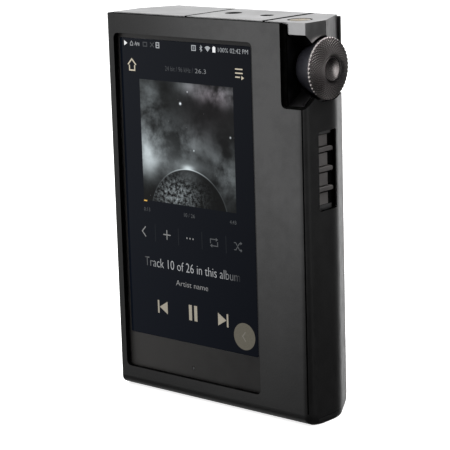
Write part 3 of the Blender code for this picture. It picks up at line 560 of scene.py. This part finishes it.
def paint_pocket_and_key_shade(housing):
    """Paint shade on the shell's faces in the wheel's pocket and around the side keys: dark metal
    in the pocket, black by the keys.
    """
    low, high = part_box("main_housing")
    keys_low, keys_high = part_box("button_panel")
    wheel_low, wheel_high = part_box("volume_wheel")
    pocket_low = Vector((wheel_low.x - 5.0 * MM, low.y + 0.1 * MM, wheel_low.z - 4.0 * MM))
    pocket_high = Vector((high.x - 0.05 * MM, wheel_high.y + 2.0 * MM, wheel_high.z + 3.0 * MM))
    keys_low = keys_low - Vector((6.0, 1.0, 1.0)) * MM
    keys_high = keys_high + Vector((-0.3, 6.0, 1.0)) * MM
    add_finishes(housing, "pocket_painted_shade_metal", "black_rim_and_painted_shade")
    # Painted shade: black around the side keys, dark metal in the wheel's pocket.
    for polygon in housing.data.polygons:
        if inside_of(polygon.center, keys_low, keys_high):
            polygon.material_index = 2
        elif inside_of(polygon.center, pocket_low, pocket_high):
            polygon.material_index = 1


STRIP_WIDTHS = {"top_strip_left": 1.4 * MM, "top_strip_right": 2.3 * MM}
STRIP_RISE = 0.02 * MM          # how far the strips stand out of the metal
STRIP_TOP = 0.1 * MM            # the part of a strip's height that counts as its top


def make_strips():
    """The dark strips across the top, as wide as they look there."""
    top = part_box("main_housing")[1].z + STRIP_RISE
    for node, width in STRIP_WIDTHS.items():
        strip = softened(node, 0.05 * MM, 2)
        low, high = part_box(node)
        middle = (low.x + high.x) / 2
        for vert in strip.data.vertices:
            vert.co.x = middle + (width / 2 if vert.co.x > middle else -width / 2)
            if vert.co.z > high.z - STRIP_TOP:
                vert.co.z = top


def make_body():
    """The metal shell, rear cover, top strips and front."""
    housing = softened("main_housing", 0.12 * MM, 2, 20.0)
    paint_pocket_and_key_shade(housing)
    softened("rear_cover", 0.15 * MM, 2, 20.0)
    make_strips()
    softened("front_plate", 0.08 * MM, 2)
    softened("cover_glass", 0.06 * MM, 2)


SOCKET_RIM = 0.4 * MM           # how far down the socket's dark rim reaches


def make_large_socket():
    """The large socket's shell, with a dark rim around a pale sleeve whose pale colour is a painted
    reflection of its bright inside.
    """
    shell = softened("large_socket_shell", 0.05 * MM, 2)
    add_finishes(shell, "black_rim_and_painted_shade", "pale_sleeve_painted_reflection")
    low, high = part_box("large_socket_shell")
    for polygon in shell.data.polygons:
        outwards = polygon.center - (low + high) / 2
        outwards.z = 0.0
        if polygon.center.z > high.z - SOCKET_RIM:
            polygon.material_index = 1
        # Painted reflection: the socket's inner wall is pale.
        elif polygon.normal.dot(outwards) < 0:
            polygon.material_index = 2


def make_side_buttons():
    """The button panel and its three bars."""
    softened("button_panel", 0.08 * MM, 2)
    for node in ("next_button", "play_button", "previous_button"):
        softened(node, 0.18 * MM, 3)


# ---------------------------------------------------------------- wheel

TEETH = 46                      # around the rim, and lines across the face
TOOTH_STEPS = 16                # points around the wheel for each tooth
TOOTH_DEPTH = 0.42 * MM
FACE_DEPTH = 0.26 * MM          # of the face's grooves at the rim; they fade out inwards
FACE_STEPS = 90
FACE_TWIST = 6.0                # how many lines a groove crosses on its way in
FACE_RISE = 1.25 * MM           # from the rim to the middle of the face
RIM_WIDTH = 1.0 * MM
RIM_ROUND = 0.25 * MM
RIM_STEPS = 12
BACK_RADIUS = 7.0 * MM          # where the cone behind the rim starts
BACK_EDGE = 0.3 * MM
BACK_STEPS = 8
SHAFT_HOLE = 1.6 * MM
DISH_HOLE = 4.12 * MM           # the radius of the hole that the dished cap fills
DISH_HOLE_DEPTH = 2.2 * MM
DISH_DEPTH = 0.98 * MM
DISH_LIP = 0.06 * MM
DISH_STEPS = 24
DISH_SEGMENTS = 128


def wheel_rows(back_x, rim_x, face_x, rim_radius):
    """The wheel's profile as (x, radius, depth of the knurl, twist) rows."""
    rows = [(back_x, SHAFT_HOLE, 0.0, 0.0), (back_x, BACK_RADIUS - BACK_EDGE, 0.0, 0.0),
            (back_x + BACK_EDGE, BACK_RADIUS, 0.0, 0.0)]
    cone_end = rim_x - RIM_WIDTH
    inner_rim = rim_radius - RIM_ROUND
    for step in range(1, BACK_STEPS + 1):
        share = step / BACK_STEPS
        rows.append((back_x + (cone_end - back_x) * share,
                     BACK_RADIUS + (inner_rim - BACK_RADIUS) * share, 0.0, 0.0))
    for step in range(1, RIM_STEPS + 1):
        share = step / RIM_STEPS
        angle = math.pi * share
        rows.append((cone_end + RIM_WIDTH * share, inner_rim + RIM_ROUND * math.sin(angle),
                     TOOTH_DEPTH * math.sin(angle / 2 + 0.4), 0.0))
    for step in range(1, FACE_STEPS + 1):
        share = step / FACE_STEPS
        rows.append((rim_x + (face_x - rim_x) * share, inner_rim + (DISH_HOLE - inner_rim) * share,
                     FACE_DEPTH * (1 - share) ** 0.9 + 0.01 * MM, FACE_TWIST * share))
    hole_wall = DISH_HOLE - 0.05 * MM
    rows.append((face_x - 0.05 * MM, hole_wall, 0.0, 0.0))
    rows.append((face_x - DISH_HOLE_DEPTH, hole_wall, 0.0, 0.0))
    rows.append((face_x - DISH_HOLE_DEPTH, SHAFT_HOLE, 0.0, 0.0))
    return rows


def groove(phase):
    """The depth of a V-shaped groove, 0 on its lands and 1 at its bottom."""
    return (0.5 + 0.5 * math.cos(2 * math.pi * phase)) ** 2.2


def around_wheel(centre, x, radius, angle):
    """A point at a radius and angle about the wheel's axis."""
    return Vector((x, centre.y + radius * math.cos(angle), centre.z + radius * math.sin(angle)))


def make_wheel():
    """The knurled volume wheel: two sets of crossing spiral grooves and a toothed rim, with painted
    shade on the cone behind the rim.
    """
    low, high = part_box("volume_wheel")
    centre = (low + high) / 2
    rim_x = high.x - FACE_RISE
    columns = TEETH * TOOTH_STEPS
    bm = bmesh.new()
    rings = []
    for x, radius, depth, twist in wheel_rows(low.x, rim_x, high.x, (high.z - low.z) / 2):
        ring = []
        for column in range(columns):
            phase = column / TOOTH_STEPS
            cut = depth * max(groove(phase + twist), groove(phase - twist)) if depth else 0.0
            inwards, back = (0.9 * cut, 0.0) if twist == 0 else (0.25 * cut, 0.95 * cut)
            ring.append(bm.verts.new(around_wheel(centre, x - back, radius - inwards,
                                                  2 * math.pi * column / columns)))
        rings.append(ring)
    for ring, following in zip(rings, rings[1:] + rings[:1]):
        for column in range(columns):
            after = (column + 1) % columns
            bm.faces.new([ring[column], ring[after], following[after], following[column]])
    wheel = add_piece("volume_wheel_knurled", bm, BODY_OF["volume_wheel"], "wheel_metal",
                      FINISH["knurl_metal"])
    add_finishes(wheel, "wheel_back_painted_shade", "wheel_metal")
    for polygon in wheel.data.polygons:
        # Painted shade on the cone behind the rim; the rim's back keeps the turned metal.
        if polygon.center.x < rim_x - RIM_WIDTH - 0.02 * MM:
            polygon.material_index = 1
        elif polygon.center.x < rim_x - 0.3 * MM:
            polygon.material_index = 2
    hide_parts("volume_wheel")


def make_dish():
    """The dished cap, turned about the wheel's axis."""
    low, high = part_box("wheel_cap")
    centre = (low + high) / 2
    radius = (high.z - low.z) / 2
    profile = [(low.x, radius)]
    for step in range(DISH_STEPS):
        share = step / DISH_STEPS
        lip = DISH_LIP if step == 0 else 0.0
        profile.append((high.x - lip - DISH_DEPTH * (1 - (1 - share) ** 2), radius * (1 - share)))
    bm = bmesh.new()
    rings = [[bm.verts.new(around_wheel(centre, x, reach, 2 * math.pi * step / DISH_SEGMENTS))
              for step in range(DISH_SEGMENTS)] for x, reach in profile]
    back = bm.verts.new(around_wheel(centre, low.x, 0.0, 0.0))
    bottom = bm.verts.new(around_wheel(centre, high.x - DISH_DEPTH, 0.0, 0.0))
    for step in range(DISH_SEGMENTS):
        after = (step + 1) % DISH_SEGMENTS
        bm.faces.new([back, rings[0][after], rings[0][step]])
        bm.faces.new([rings[-1][step], rings[-1][after], bottom])
        for ring, following in zip(rings, rings[1:]):
            bm.faces.new([ring[step], ring[after], following[after], following[step]])
    dish = add_piece("wheel_cap_dish", bm, BODY_OF["wheel_cap"], "wheel_metal")
    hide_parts("wheel_cap")


# ---------------------------------------------------------------- screen

GLASS_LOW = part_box("cover_glass")[0]
PICTURE = (9.05, 53.95, 51.48, 96.23)   # left, right, bottom and top on the screen


def unlit_material(name):
    """The dark, shiny ground of lit pixels, whose glow is still to be set."""
    material, tree, shader = new_material(name, (0.001, 0.001, 0.001), 0.06, specular=0.1)
    shader.inputs["Emission Strength"].default_value = 1.0
    return material, tree, shader


def lit_material(name, colour):
    """Lit pixels of one colour, with a faint unevenness."""
    material, tree, shader = unlit_material(name)
    grain = clouds(tree, place(tree), 2600.0, 2.0)
    darker = tuple(channel * 0.86 for channel in colour)
    put(tree, blend_colours(tree, between(tree, grain, 0.35, 0.6), darker, colour),
        shader.inputs["Emission Color"])
    return material


def fading_material(name, colour, clear, full):
    """Lit pixels that fade out towards both ends of a line of text, in mm on the screen."""
    material, tree, shader = unlit_material(name)
    across = parts_of(tree, place(tree))[0]
    left, right = (between(tree, across, GLASS_LOW.x + start * MM, GLASS_LOW.x + end * MM)
                   for start, end in zip(clear, full))
    fade = maths(tree, "MINIMUM", left, right)
    put(tree, blend_colours(tree, fade, (0.01, 0.011, 0.013), colour),
        shader.inputs["Emission Color"])
    return material


def blob(tree, across, up, centre, spread):
    """A soft round patch: 1 at its centre, falling off with distance."""
    squares = []
    for value, middle, width in zip((across, up), centre, spread):
        away = maths(tree, "DIVIDE", maths(tree, "SUBTRACT", value, middle), width)
        squares.append(times(tree, away, away))
    return maths(tree, "EXPONENT", times(tree, total(tree, *squares), -1.0))


# Soft patches in the cover picture: their centres and sizes as shares of it, and levels.
DUST = (((0.02, 0.44), (0.34, 0.20), 0.40), ((0.08, 0.78), (0.15, 0.26), 0.20),
        ((0.45, 0.48), (0.28, 0.14), 0.20), ((0.88, 0.93), (0.20, 0.07), 0.42),
        ((0.58, 0.97), (0.16, 0.06), 0.22), ((0.92, 0.30), (0.15, 0.18), 0.24),
        ((0.55, 0.65), (0.45, 0.35), 0.015))
HAZE = (((0.07, 0.34), (0.085, 0.10), 0.42), ((0.18, 0.42), (0.26, 0.14), 0.05))
BRIGHT_STARS = (((0.44, 0.83), (0.009, 0.009), 1.2), ((0.96, 0.60), (0.007, 0.007), 0.6),
                ((0.57, 0.46), (0.006, 0.006), 0.6), ((0.52, 0.93), (0.006, 0.006), 0.5))
AIR = (((0.5, 0.31), (0.055, 0.022), 0.6), ((0.5, 0.33), (0.16, 0.06), 0.12))
PLANET_RADIUS = 0.417
PLANET_HEIGHT = -0.117          # of its centre, which is below the picture


def sky_light(tree, where, patch):
    """The light of the sky: dust, haze and stars."""
    billows = clouds(tree, where, 3.1, 9.0, 0.6, 0.16)
    dust = times(tree, between(tree, billows, 0.36, 0.72, smooth=True),
                 total(tree, *(patch(*spot) for spot in DUST)))
    specks = tree.nodes.new("ShaderNodeTexVoronoi")
    specks.inputs["Scale"].default_value = 26.0
    put(tree, where, specks.inputs["Vector"])
    pick = tree.nodes.new("ShaderNodeSeparateColor")
    put(tree, specks.outputs["Color"], pick.inputs["Color"])
    stars = times(tree, between(tree, specks.outputs["Distance"], 0.09, 0.02),
                  between(tree, pick.outputs["Red"], 0.72, 1.0), 0.3)
    spots = (patch(*spot) for spot in (*HAZE, *BRIGHT_STARS))
    return total(tree, dust, 0.006, stars, *spots)


def picture_material():
    """The cover picture: a plain night sky with clouds of dust, stars and a dark planet."""
    material, tree, shader = unlit_material("cover_picture")
    left, right, bottom, top = (value * MM for value in PICTURE)
    x, _, z = parts_of(tree, place(tree))
    across = between(tree, x, GLASS_LOW.x + left, GLASS_LOW.x + right)
    up = between(tree, z, GLASS_LOW.z + bottom, GLASS_LOW.z + top)
    where = flat_vector(tree, across, up)

    def patch(centre, spread, level):
        return times(tree, blob(tree, across, up, centre, spread), level)

    side = maths(tree, "SUBTRACT", across, 0.5)
    rise = maths(tree, "SUBTRACT", up, PLANET_HEIGHT)
    distance = maths(tree, "DIVIDE", maths(tree, "SQRT", total(
        tree, times(tree, side, side), times(tree, rise, rise))), PLANET_RADIUS)
    inside = between(tree, distance, 1.006, 0.994)
    outside = maths(tree, "SUBTRACT", 1.0, inside)
    ground = total(tree, 0.003, patch((0.5, 0.25), (0.10, 0.05), 0.05),
                   times(tree, between(tree, clouds(tree, where, 34.0, 6.0, 0.72), 0.44, 0.74),
                         patch((0.36, 0.07), (0.20, 0.13), 0.5)))
    edge = maths(tree, "SUBTRACT", distance, 1.0)
    rim = times(tree, maths(tree, "EXPONENT", times(tree, edge, edge, -9000.0)),
                total(tree, 0.035, patch((0.5, 0.3), (0.2, 0.1), 0.45)))
    sky = total(tree, sky_light(tree, where, patch), *(patch(*spot) for spot in AIR))
    light = total(tree, times(tree, outside, sky), times(tree, inside, ground), rim)

    violet = blob(tree, across, up, (0.78, 0.86), (0.28, 0.24))
    shade = tree.nodes.new("ShaderNodeVectorMath")
    shade.operation = "SCALE"
    put(tree, blend_colours(tree, violet, (0.86, 0.96, 1.0), (1.0, 0.90, 1.0)),
        shade.inputs[0])
    put(tree, light, shade.inputs["Scale"])
    put(tree, shade.outputs["Vector"], shader.inputs["Emission Color"])
    return material


def on_screen(x, z, depth=0.0):
    """A point on the screen, in mm from its lower left corner, and depth behind its front."""
    return Vector((GLASS_LOW.x + x * MM, GLASS_LOW.y + depth * MM, GLASS_LOW.z + z * MM))


PROUD, SUNK = -0.02, 0.03       # how far a mark on the screen stands out and goes in


def strip_solid(bm, left, right, closed=False):
    """A thin plate on the screen between two lines of points."""
    pairs = []
    for first, second in zip(left, right):
        corners = ((first, PROUD), (second, PROUD), (second, SUNK), (first, SUNK))
        pairs.append([bm.verts.new(on_screen(*point, depth)) for point, depth in corners])
    following = pairs[1:] + (pairs[:1] if closed else [])
    for here, there in zip(pairs, following):
        for index in range(4):
            after = (index + 1) % 4
            bm.faces.new([here[index], here[after], there[after], there[index]])
    if not closed:
        bm.faces.new(pairs[0])
        bm.faces.new(pairs[-1])


def stroke(bm, points, width, closed=False):
    """A line of a width through points, with mitred corners."""
    spots = [Vector(point) for point in points]
    left, right = [], []
    for index, spot in enumerate(spots):
        before = spots[index - 1] if closed or index else None
        after = spots[(index + 1) % len(spots)] if closed or index < len(spots) - 1 else None
        ways = []
        if before is not None:
            ways.append((spot - before).normalized())
        if after is not None:
            ways.append((after - spot).normalized())
        way = sum(ways, Vector((0.0, 0.0))).normalized()
        across = Vector((-way.y, way.x)) * width / 2 / max(0.4, way.dot(ways[0]))
        left.append(spot + across)
        right.append(spot - across)
    strip_solid(bm, left, right, closed)


def arc(centre, radius, start, end, steps=16):
    """Points along an arc, with its angles in degrees."""
    angles = [math.radians(start + (end - start) * step / steps) for step in range(steps + 1)]
    return [(centre[0] + radius * math.cos(a), centre[1] + radius * math.sin(a)) for a in angles]


def plate(bm, outline):
    """A thin plate on the screen with an outline of points."""
    front, back = ([bm.verts.new(on_screen(*point, depth)) for point in outline]
                   for depth in (PROUD, SUNK))
    close_between(bm, front, back)


def bar(bm, left, right, bottom, top):
    """A rectangle on the screen."""
    plate(bm, [(left, bottom), (right, bottom), (right, top), (left, top)])


THINNER = -0.012                # how much thinner the letters are than the font's own


def write(bm, words, left, right, middle, height):
    """A line of text on the screen: its sides, where its middle is, and its height."""
    curve = bpy.data.curves.new("words", "FONT")
    curve.body = words
    curve.extrude = 0.5
    curve.resolution_u = 3
    curve.offset = THINNER
    holder = bpy.data.objects.new("words", curve)
    SCENE.collection.objects.link(holder)
    bpy.context.view_layer.update()
    mesh = bpy.data.meshes.new_from_object(holder)
    bpy.data.objects.remove(holder)
    low = Vector([min(vert.co[axis] for vert in mesh.vertices) for axis in range(3)])
    high = Vector([max(vert.co[axis] for vert in mesh.vertices) for axis in range(3)])
    for vert in mesh.vertices:
        x = left + (vert.co.x - low.x) / (high.x - low.x) * (right - left)
        z = middle + (vert.co.y - (low.y + high.y) / 2) / (high.y - low.y) * height
        vert.co = on_screen(x, z, PROUD if vert.co.z > 0 else SUNK)
    bm.from_mesh(mesh)
    bpy.data.meshes.remove(mesh)


def marks(name, finish, draw):
    """A piece of lit marks on the screen, drawn by a function, in a colour or a material."""
    bm = bmesh.new()
    draw(bm)
    if isinstance(finish, tuple):
        finish = lit_material(name, finish)
    add_piece(name, bm, "player", "screen", finish, smooth=False)


STATUS = 109.0                  # the heights of the screen's lines
HEADER = 101.3
TIMES = 48.0
TOOLS = 39.45
TITLE = 28.3
ARTIST = 22.0
PLAYER_KEYS = 11.6


def open_box(bm, left, right, half_height, width):
    """A drawn box on the screen's top line."""
    low, high = STATUS - half_height, STATUS + half_height
    stroke(bm, [(left, low), (left, high), (right, high), (right, low)], width, closed=True)


def status_left(bm):
    """The small signs at the left of the top line."""
    stroke(bm, [(5.2, STATUS - 0.7), (5.2, STATUS + 0.1), (5.8, STATUS + 0.8),
                (6.4, STATUS + 0.1), (6.4, STATUS - 0.7)], 0.32, closed=True)
    stroke(bm, [(7.4, STATUS - 0.6), (7.9, STATUS + 0.5), (8.4, STATUS - 0.6), (8.9, STATUS + 0.5)],
           0.32)
    bar(bm, 9.2, 9.7, STATUS - 0.7, STATUS + 0.4)


def status_dim(bm):
    """The dim signs of the top line: a box and two crossing lines."""
    open_box(bm, 11.6, 13.4, 0.7, 0.3)
    stroke(bm, [(15.1, STATUS - 0.8), (16.9, STATUS + 0.8)], 0.3)
    stroke(bm, [(15.1, STATUS + 0.8), (16.9, STATUS - 0.8)], 0.3)


def status_right(bm):
    """The signs and numbers at the right of the top line."""
    open_box(bm, 18.0, 19.4, 0.9, 0.36)
    stroke(bm, [(18.0, STATUS), (19.4, STATUS)], 0.3)
    open_box(bm, 35.2, 37.0, 0.85, 0.32)
    for rise in (0.3, -0.3):
        stroke(bm, [(35.7, STATUS + rise), (36.5, STATUS + rise)], 0.26)
    stroke(bm, [(39.0, STATUS - 0.5), (40.1, STATUS + 0.5), (39.55, STATUS + 1.0),
                (39.55, STATUS - 1.0), (40.1, STATUS - 0.5), (39.0, STATUS + 0.5)], 0.22)
    plate(bm, [(42.7, STATUS - 0.95), *arc((42.7, STATUS - 0.95), 1.95, 48, 132, 8)])
    write(bm, "100%", 47.6, 52.2, STATUS, 1.55)
    write(bm, "02:42 PM", 53.1, 61.3, STATUS, 1.6)


def bright_signs(bm):
    """The play sign and the battery of the top line."""
    plate(bm, [(2.1, STATUS - 0.95), (3.7, STATUS), (2.1, STATUS + 0.95)])
    plate(bm, [(45.0, STATUS - 1.05), (46.35, STATUS - 1.05), (46.35, STATUS + 0.85),
               (45.95, STATUS + 0.85), (45.95, STATUS + 1.1), (45.4, STATUS + 1.1),
               (45.4, STATUS + 0.85), (45.0, STATUS + 0.85)])


def header_signs(bm):
    """A plain house for the way home, and the queue's three bars."""
    stroke(bm, [(3.6, HEADER - 0.1), (5.6, HEADER + 2.0), (7.6, HEADER - 0.1)], 0.5)
    stroke(bm, [(4.3, HEADER - 0.2), (4.3, HEADER - 2.1), (6.9, HEADER - 2.1),
                (6.9, HEADER - 0.2)], 0.5)
    for rise, end in ((1.5, 58.6), (0.1, 58.6), (-1.3, 57.3)):
        bar(bm, 55.2, end, HEADER + rise - 0.22, HEADER + rise + 0.22)
    plate(bm, [(58.0, HEADER - 2.2), (59.2, HEADER - 1.5), (58.0, HEADER - 0.8)])


def track_times(bm):
    """The times and the track's number under the picture."""
    write(bm, "0:13", 8.9, 11.9, TIMES, 1.35)
    write(bm, "10 / 26", 28.8, 34.0, TIMES, 1.4)
    write(bm, "4:43", 50.7, 53.7, TIMES, 1.35)


def tool_signs(bm):
    """Back, add and more, in the row of tools."""
    stroke(bm, [(9.3, TOOLS + 1.9), (7.5, TOOLS), (9.3, TOOLS - 1.9)], 0.42)
    stroke(bm, [(18.1, TOOLS), (21.7, TOOLS)], 0.42)
    bar(bm, 19.69, 20.11, TOOLS + 0.22, TOOLS + 1.8)
    bar(bm, 19.69, 20.11, TOOLS - 1.8, TOOLS - 0.22)
    for x in (29.8, 31.3, 32.8):
        plate(bm, arc((x, TOOLS), 0.34, 0, 330, 11))


def dim_tool_signs(bm):
    """Repeat and shuffle, in the row of tools."""
    x, z = 42.9, TOOLS
    stroke(bm, [(x - 1.7, z - 0.4), (x - 1.7, z + 1.2), (x + 1.2, z + 1.2)], 0.34)
    plate(bm, [(x + 0.9, z + 0.5), (x + 1.9, z + 1.2), (x + 0.9, z + 1.9)])
    stroke(bm, [(x + 1.7, z + 0.4), (x + 1.7, z - 1.2), (x - 1.2, z - 1.2)], 0.34)
    plate(bm, [(x - 0.9, z - 0.5), (x - 1.9, z - 1.2), (x - 0.9, z - 1.9)])
    x = 54.2
    stroke(bm, [(x - 1.8, z + 1.3), (x - 1.0, z + 1.3), (x + 0.8, z - 1.3), (x + 1.3, z - 1.3)],
           0.3)
    stroke(bm, [(x - 1.8, z - 1.3), (x - 1.0, z - 1.3), (x - 0.25, z - 0.25)], 0.3)
    stroke(bm, [(x + 0.15, z + 0.35), (x + 0.8, z + 1.3), (x + 1.3, z + 1.3)], 0.3)
    for side in (1.3, -1.3):
        plate(bm, [(x + 1.2, z + side - 0.6), (x + 2.0, z + side), (x + 1.2, z + side + 0.6)])


def separators(bm):
    """Thin lines between the tools."""
    for x in (14.1, 25.6, 37.1, 48.6):
        bar(bm, x - 0.08, x + 0.08, TOOLS - 3.2, TOOLS + 3.2)


def player_keys(bm):
    """Previous, pause and next."""
    z = PLAYER_KEYS
    bar(bm, 14.0, 14.75, z - 2.45, z + 2.45)
    plate(bm, [(18.9, z - 2.4), (18.9, z + 2.4), (14.95, z)])
    for x in (29.55, 32.15):
        bar(bm, x, x + 1.45, z - 2.9, z + 2.9)
    z -= 0.3
    plate(bm, [(43.7, z - 2.4), (47.65, z), (43.7, z + 2.4)])
    bar(bm, 47.85, 48.6, z - 2.45, z + 2.45)


BACK_KEY = (56.1, 6.7)          # the round key over the screen's corner
BACK_KEY_RADIUS = 4.99


def back_key_sign(bm):
    """The arrow on the round key, raised over it."""
    x, z = BACK_KEY
    stroke(bm, [(x + 0.5, z + 1.7), (x - 0.9, z), (x + 0.5, z - 1.7)], 0.45)
    for vert in bm.verts:
        vert.co.y -= 0.02 * MM


def make_screen():
    """What the screen shows, as thin lit pieces on the glass."""
    left, right, bottom, top = PICTURE
    title_finish = fading_material("screen_title", (0.40, 0.41, 0.42), (7.5, 55.0), (15.5, 44.0))
    for name, finish, draw in (
            ("picture", picture_material(), lambda bm: bar(bm, left, right, bottom, top)),
            ("played", (0.85, 0.52, 0.12),
             lambda bm: bar(bm, left, left + 1.5, bottom - 0.5, bottom - 0.05)),
            ("status_left", (0.30, 0.31, 0.32), status_left),
            ("status_dim", (0.07, 0.075, 0.08), status_dim),
            ("status_right", (0.42, 0.44, 0.46), status_right),
            ("bright_signs", (0.92, 0.93, 0.94), bright_signs),
            ("header_signs", (0.62, 0.56, 0.44), header_signs),
            ("header_dim", (0.075, 0.08, 0.085),
             lambda bm: write(bm, "24 bit / 96 kHz /", 22.0, 35.4, HEADER - 0.4, 1.7)),
            ("header_bright", (0.26, 0.27, 0.28),
             lambda bm: write(bm, "26.3", 36.4, 41.6, HEADER - 0.4, 1.55)),
            ("times", (0.1, 0.105, 0.11), track_times),
            ("tools", (0.24, 0.24, 0.24), tool_signs),
            ("tools_dim", (0.09, 0.095, 0.1), dim_tool_signs),
            ("separators", (0.022, 0.025, 0.028), separators),
            ("title", title_finish,
             lambda bm: write(bm, "Track 10 of 26 in this album", 8.3, 54.7, TITLE, 3.4)),
            ("artist", (0.30, 0.30, 0.30),
             lambda bm: write(bm, "Artist name", 23.6, 39.3, ARTIST, 2.0)),
            ("player_keys", (0.36, 0.33, 0.27), player_keys),
            ("back_key", (0.118, 0.109, 0.087),
             lambda bm: plate(bm, arc(BACK_KEY, BACK_KEY_RADIUS, 0, 352.5, 47))),
            ("back_sign", (0.17, 0.16, 0.138), back_key_sign)):
        marks("screen_" + name, finish, draw)


# ---------------------------------------------------------------- studio

# The studio's walls, by the angle about z in degrees from x: where each edge fades, and
# the levels before and after it.
FRONT_WALL_END = (-98.0, -72.0, 1.2, 0.0)
STRIP_START = (0.0, 8.0, 0.0, 0.9)
STRIP_END = (22.0, 34.0, 1.0, 0.0)
BACK_WALL_START = (84.0, 101.0)
BACK_WALL_FULL = (112.0, 125.0, 0.0, 0.64)
FLAG_LEVEL = 0.07
# The same by height, from -1 straight down to 1 straight up.
BACK_WALL_GLOW = (-0.3, 0.0, 4.4, 0.3)
SHADE_BELOW = (-0.45, 0.03, 0.1, 1.08)
CEILING = (0.35, 0.8)
STUDIO_LEVEL = 0.9
WHITE = (1.0, 1.0, 1.0, 1.0)

TOP_LIGHT_PLACE = Vector((-0.1, 0.15, 0.9))
TOP_LIGHT_AIM = Vector((0.0, 0.0, 0.07))
TOP_LIGHT_SIZE = 0.9
TOP_LIGHT_POWER = 9.0
FLOOR_RADIUS = 3.0
FLOOR_DROP = 0.05 * MM
FLOOR_GLOW = 0.75
CAMERA_LENS = 149.7
CAMERA_TURN = (41.454, 12.285, -1.734)  # to the side, up and about its own axis, in degrees
CAMERA_PLACE = (0.435607, -0.500626, 0.209167)


def look(azimuth, elevation, roll):
    """The camera's rotation, from angles in degrees."""
    turn, rise, tilt = (math.radians(value) for value in (azimuth, elevation, roll))
    back = Vector((math.sin(turn) * math.cos(rise), -math.cos(turn) * math.cos(rise),
                   math.sin(rise)))
    right = Vector((math.cos(turn), math.sin(turn), 0.0))
    up = back.cross(right)
    side = right * math.cos(tilt) + up * math.sin(tilt)
    top = up * math.cos(tilt) - right * math.sin(tilt)
    return Matrix((side, top, back)).transposed()


def make_camera():
    """The camera, from the right of the front and a little above."""
    data = bpy.data.cameras.new("camera")
    data.lens = CAMERA_LENS
    data.sensor_width = 36.0
    data.clip_start = 0.01
    camera = bpy.data.objects.new("camera", data)
    camera.matrix_world = look(*CAMERA_TURN).to_4x4()
    camera.location = CAMERA_PLACE
    SCENE.collection.objects.link(camera)
    SCENE.camera = camera


def make_top_light():
    """A square softbox above."""
    data = bpy.data.lights.new("top_light", "AREA")
    data.size = TOP_LIGHT_SIZE
    data.energy = TOP_LIGHT_POWER
    light = bpy.data.objects.new("top_light", data)
    light.location = TOP_LIGHT_PLACE
    light.rotation_euler = (TOP_LIGHT_AIM - TOP_LIGHT_PLACE).to_track_quat("-Z", "Y").to_euler()
    light.visible_camera = False
    SCENE.collection.objects.link(light)


def make_world():
    """A white studio with black flags: bright in front to the left, behind and above."""
    world = bpy.data.worlds.new("studio")
    world.use_nodes = True
    tree = world.node_tree
    background = tree.nodes["Background"]
    x, y, height = parts_of(tree, coordinates(tree, "Generated"))
    around = maths(tree, "DEGREES", maths(tree, "ARCTAN2", y, x))
    behind = times(tree, between(tree, around, *BACK_WALL_START, smooth=True),
                   maths(tree, "MAXIMUM", between(tree, height, *BACK_WALL_GLOW),
                         between(tree, around, *BACK_WALL_FULL, smooth=True)))
    strip = times(tree, between(tree, around, *STRIP_START, smooth=True),
                  between(tree, around, *STRIP_END, smooth=True))
    walls = total(tree, between(tree, around, *FRONT_WALL_END, smooth=True), strip, behind,
                  FLAG_LEVEL)
    level = maths(tree, "MAXIMUM",
                  times(tree, walls, between(tree, height, *SHADE_BELOW, smooth=True)),
                  between(tree, height, *CEILING, smooth=True))
    put(tree, times(tree, level, STUDIO_LEVEL), background.inputs["Strength"])
    plain = tree.nodes.new("ShaderNodeBackground")
    for light in (background, plain):
        light.inputs["Color"].default_value = WHITE
    rays = tree.nodes.new("ShaderNodeLightPath")
    mix = tree.nodes.new("ShaderNodeMixShader")
    put(tree, rays.outputs["Is Camera Ray"], mix.inputs["Fac"])
    put(tree, background.outputs["Background"], mix.inputs[1])
    put(tree, plain.outputs["Background"], mix.inputs[2])
    put(tree, mix.outputs["Shader"], tree.nodes["World Output"].inputs["Surface"])
    SCENE.world = world


def make_floor():
    """A wide white floor under the object."""
    bm = bmesh.new()
    bmesh.ops.create_circle(bm, cap_ends=True, segments=96, radius=FLOOR_RADIUS)
    floor = bpy.data.objects.new("floor", mesh_from(bm, "floor"))
    floor.location.z = -FLOOR_DROP
    material, tree, shader = new_material("floor", (0.92, 0.92, 0.92), 0.9, specular=0.1)
    put(tree, between(tree, clouds(tree, place(tree), 40.0), 0.3, 0.7, 0.86, 0.94),
        shader.inputs["Roughness"])
    shader.inputs["Emission Color"].default_value = WHITE
    shader.inputs["Emission Strength"].default_value = FLOOR_GLOW
    floor.data.materials.append(material)
    SCENE.collection.objects.link(floor)
    floor.visible_glossy = False
    floor.visible_diffuse = False


def make_studio():
    """The floor, the light, the surroundings and the camera."""
    make_floor()
    make_world()
    make_top_light()
    make_camera()
    SCENE.view_settings.view_transform = "Standard"
    SCENE.view_settings.look = "None"


paint_frame()
make_case()
make_notch_shade_strip()
make_body()
make_large_socket()
make_side_buttons()
make_wheel()
make_dish()
make_screen()
make_studio()
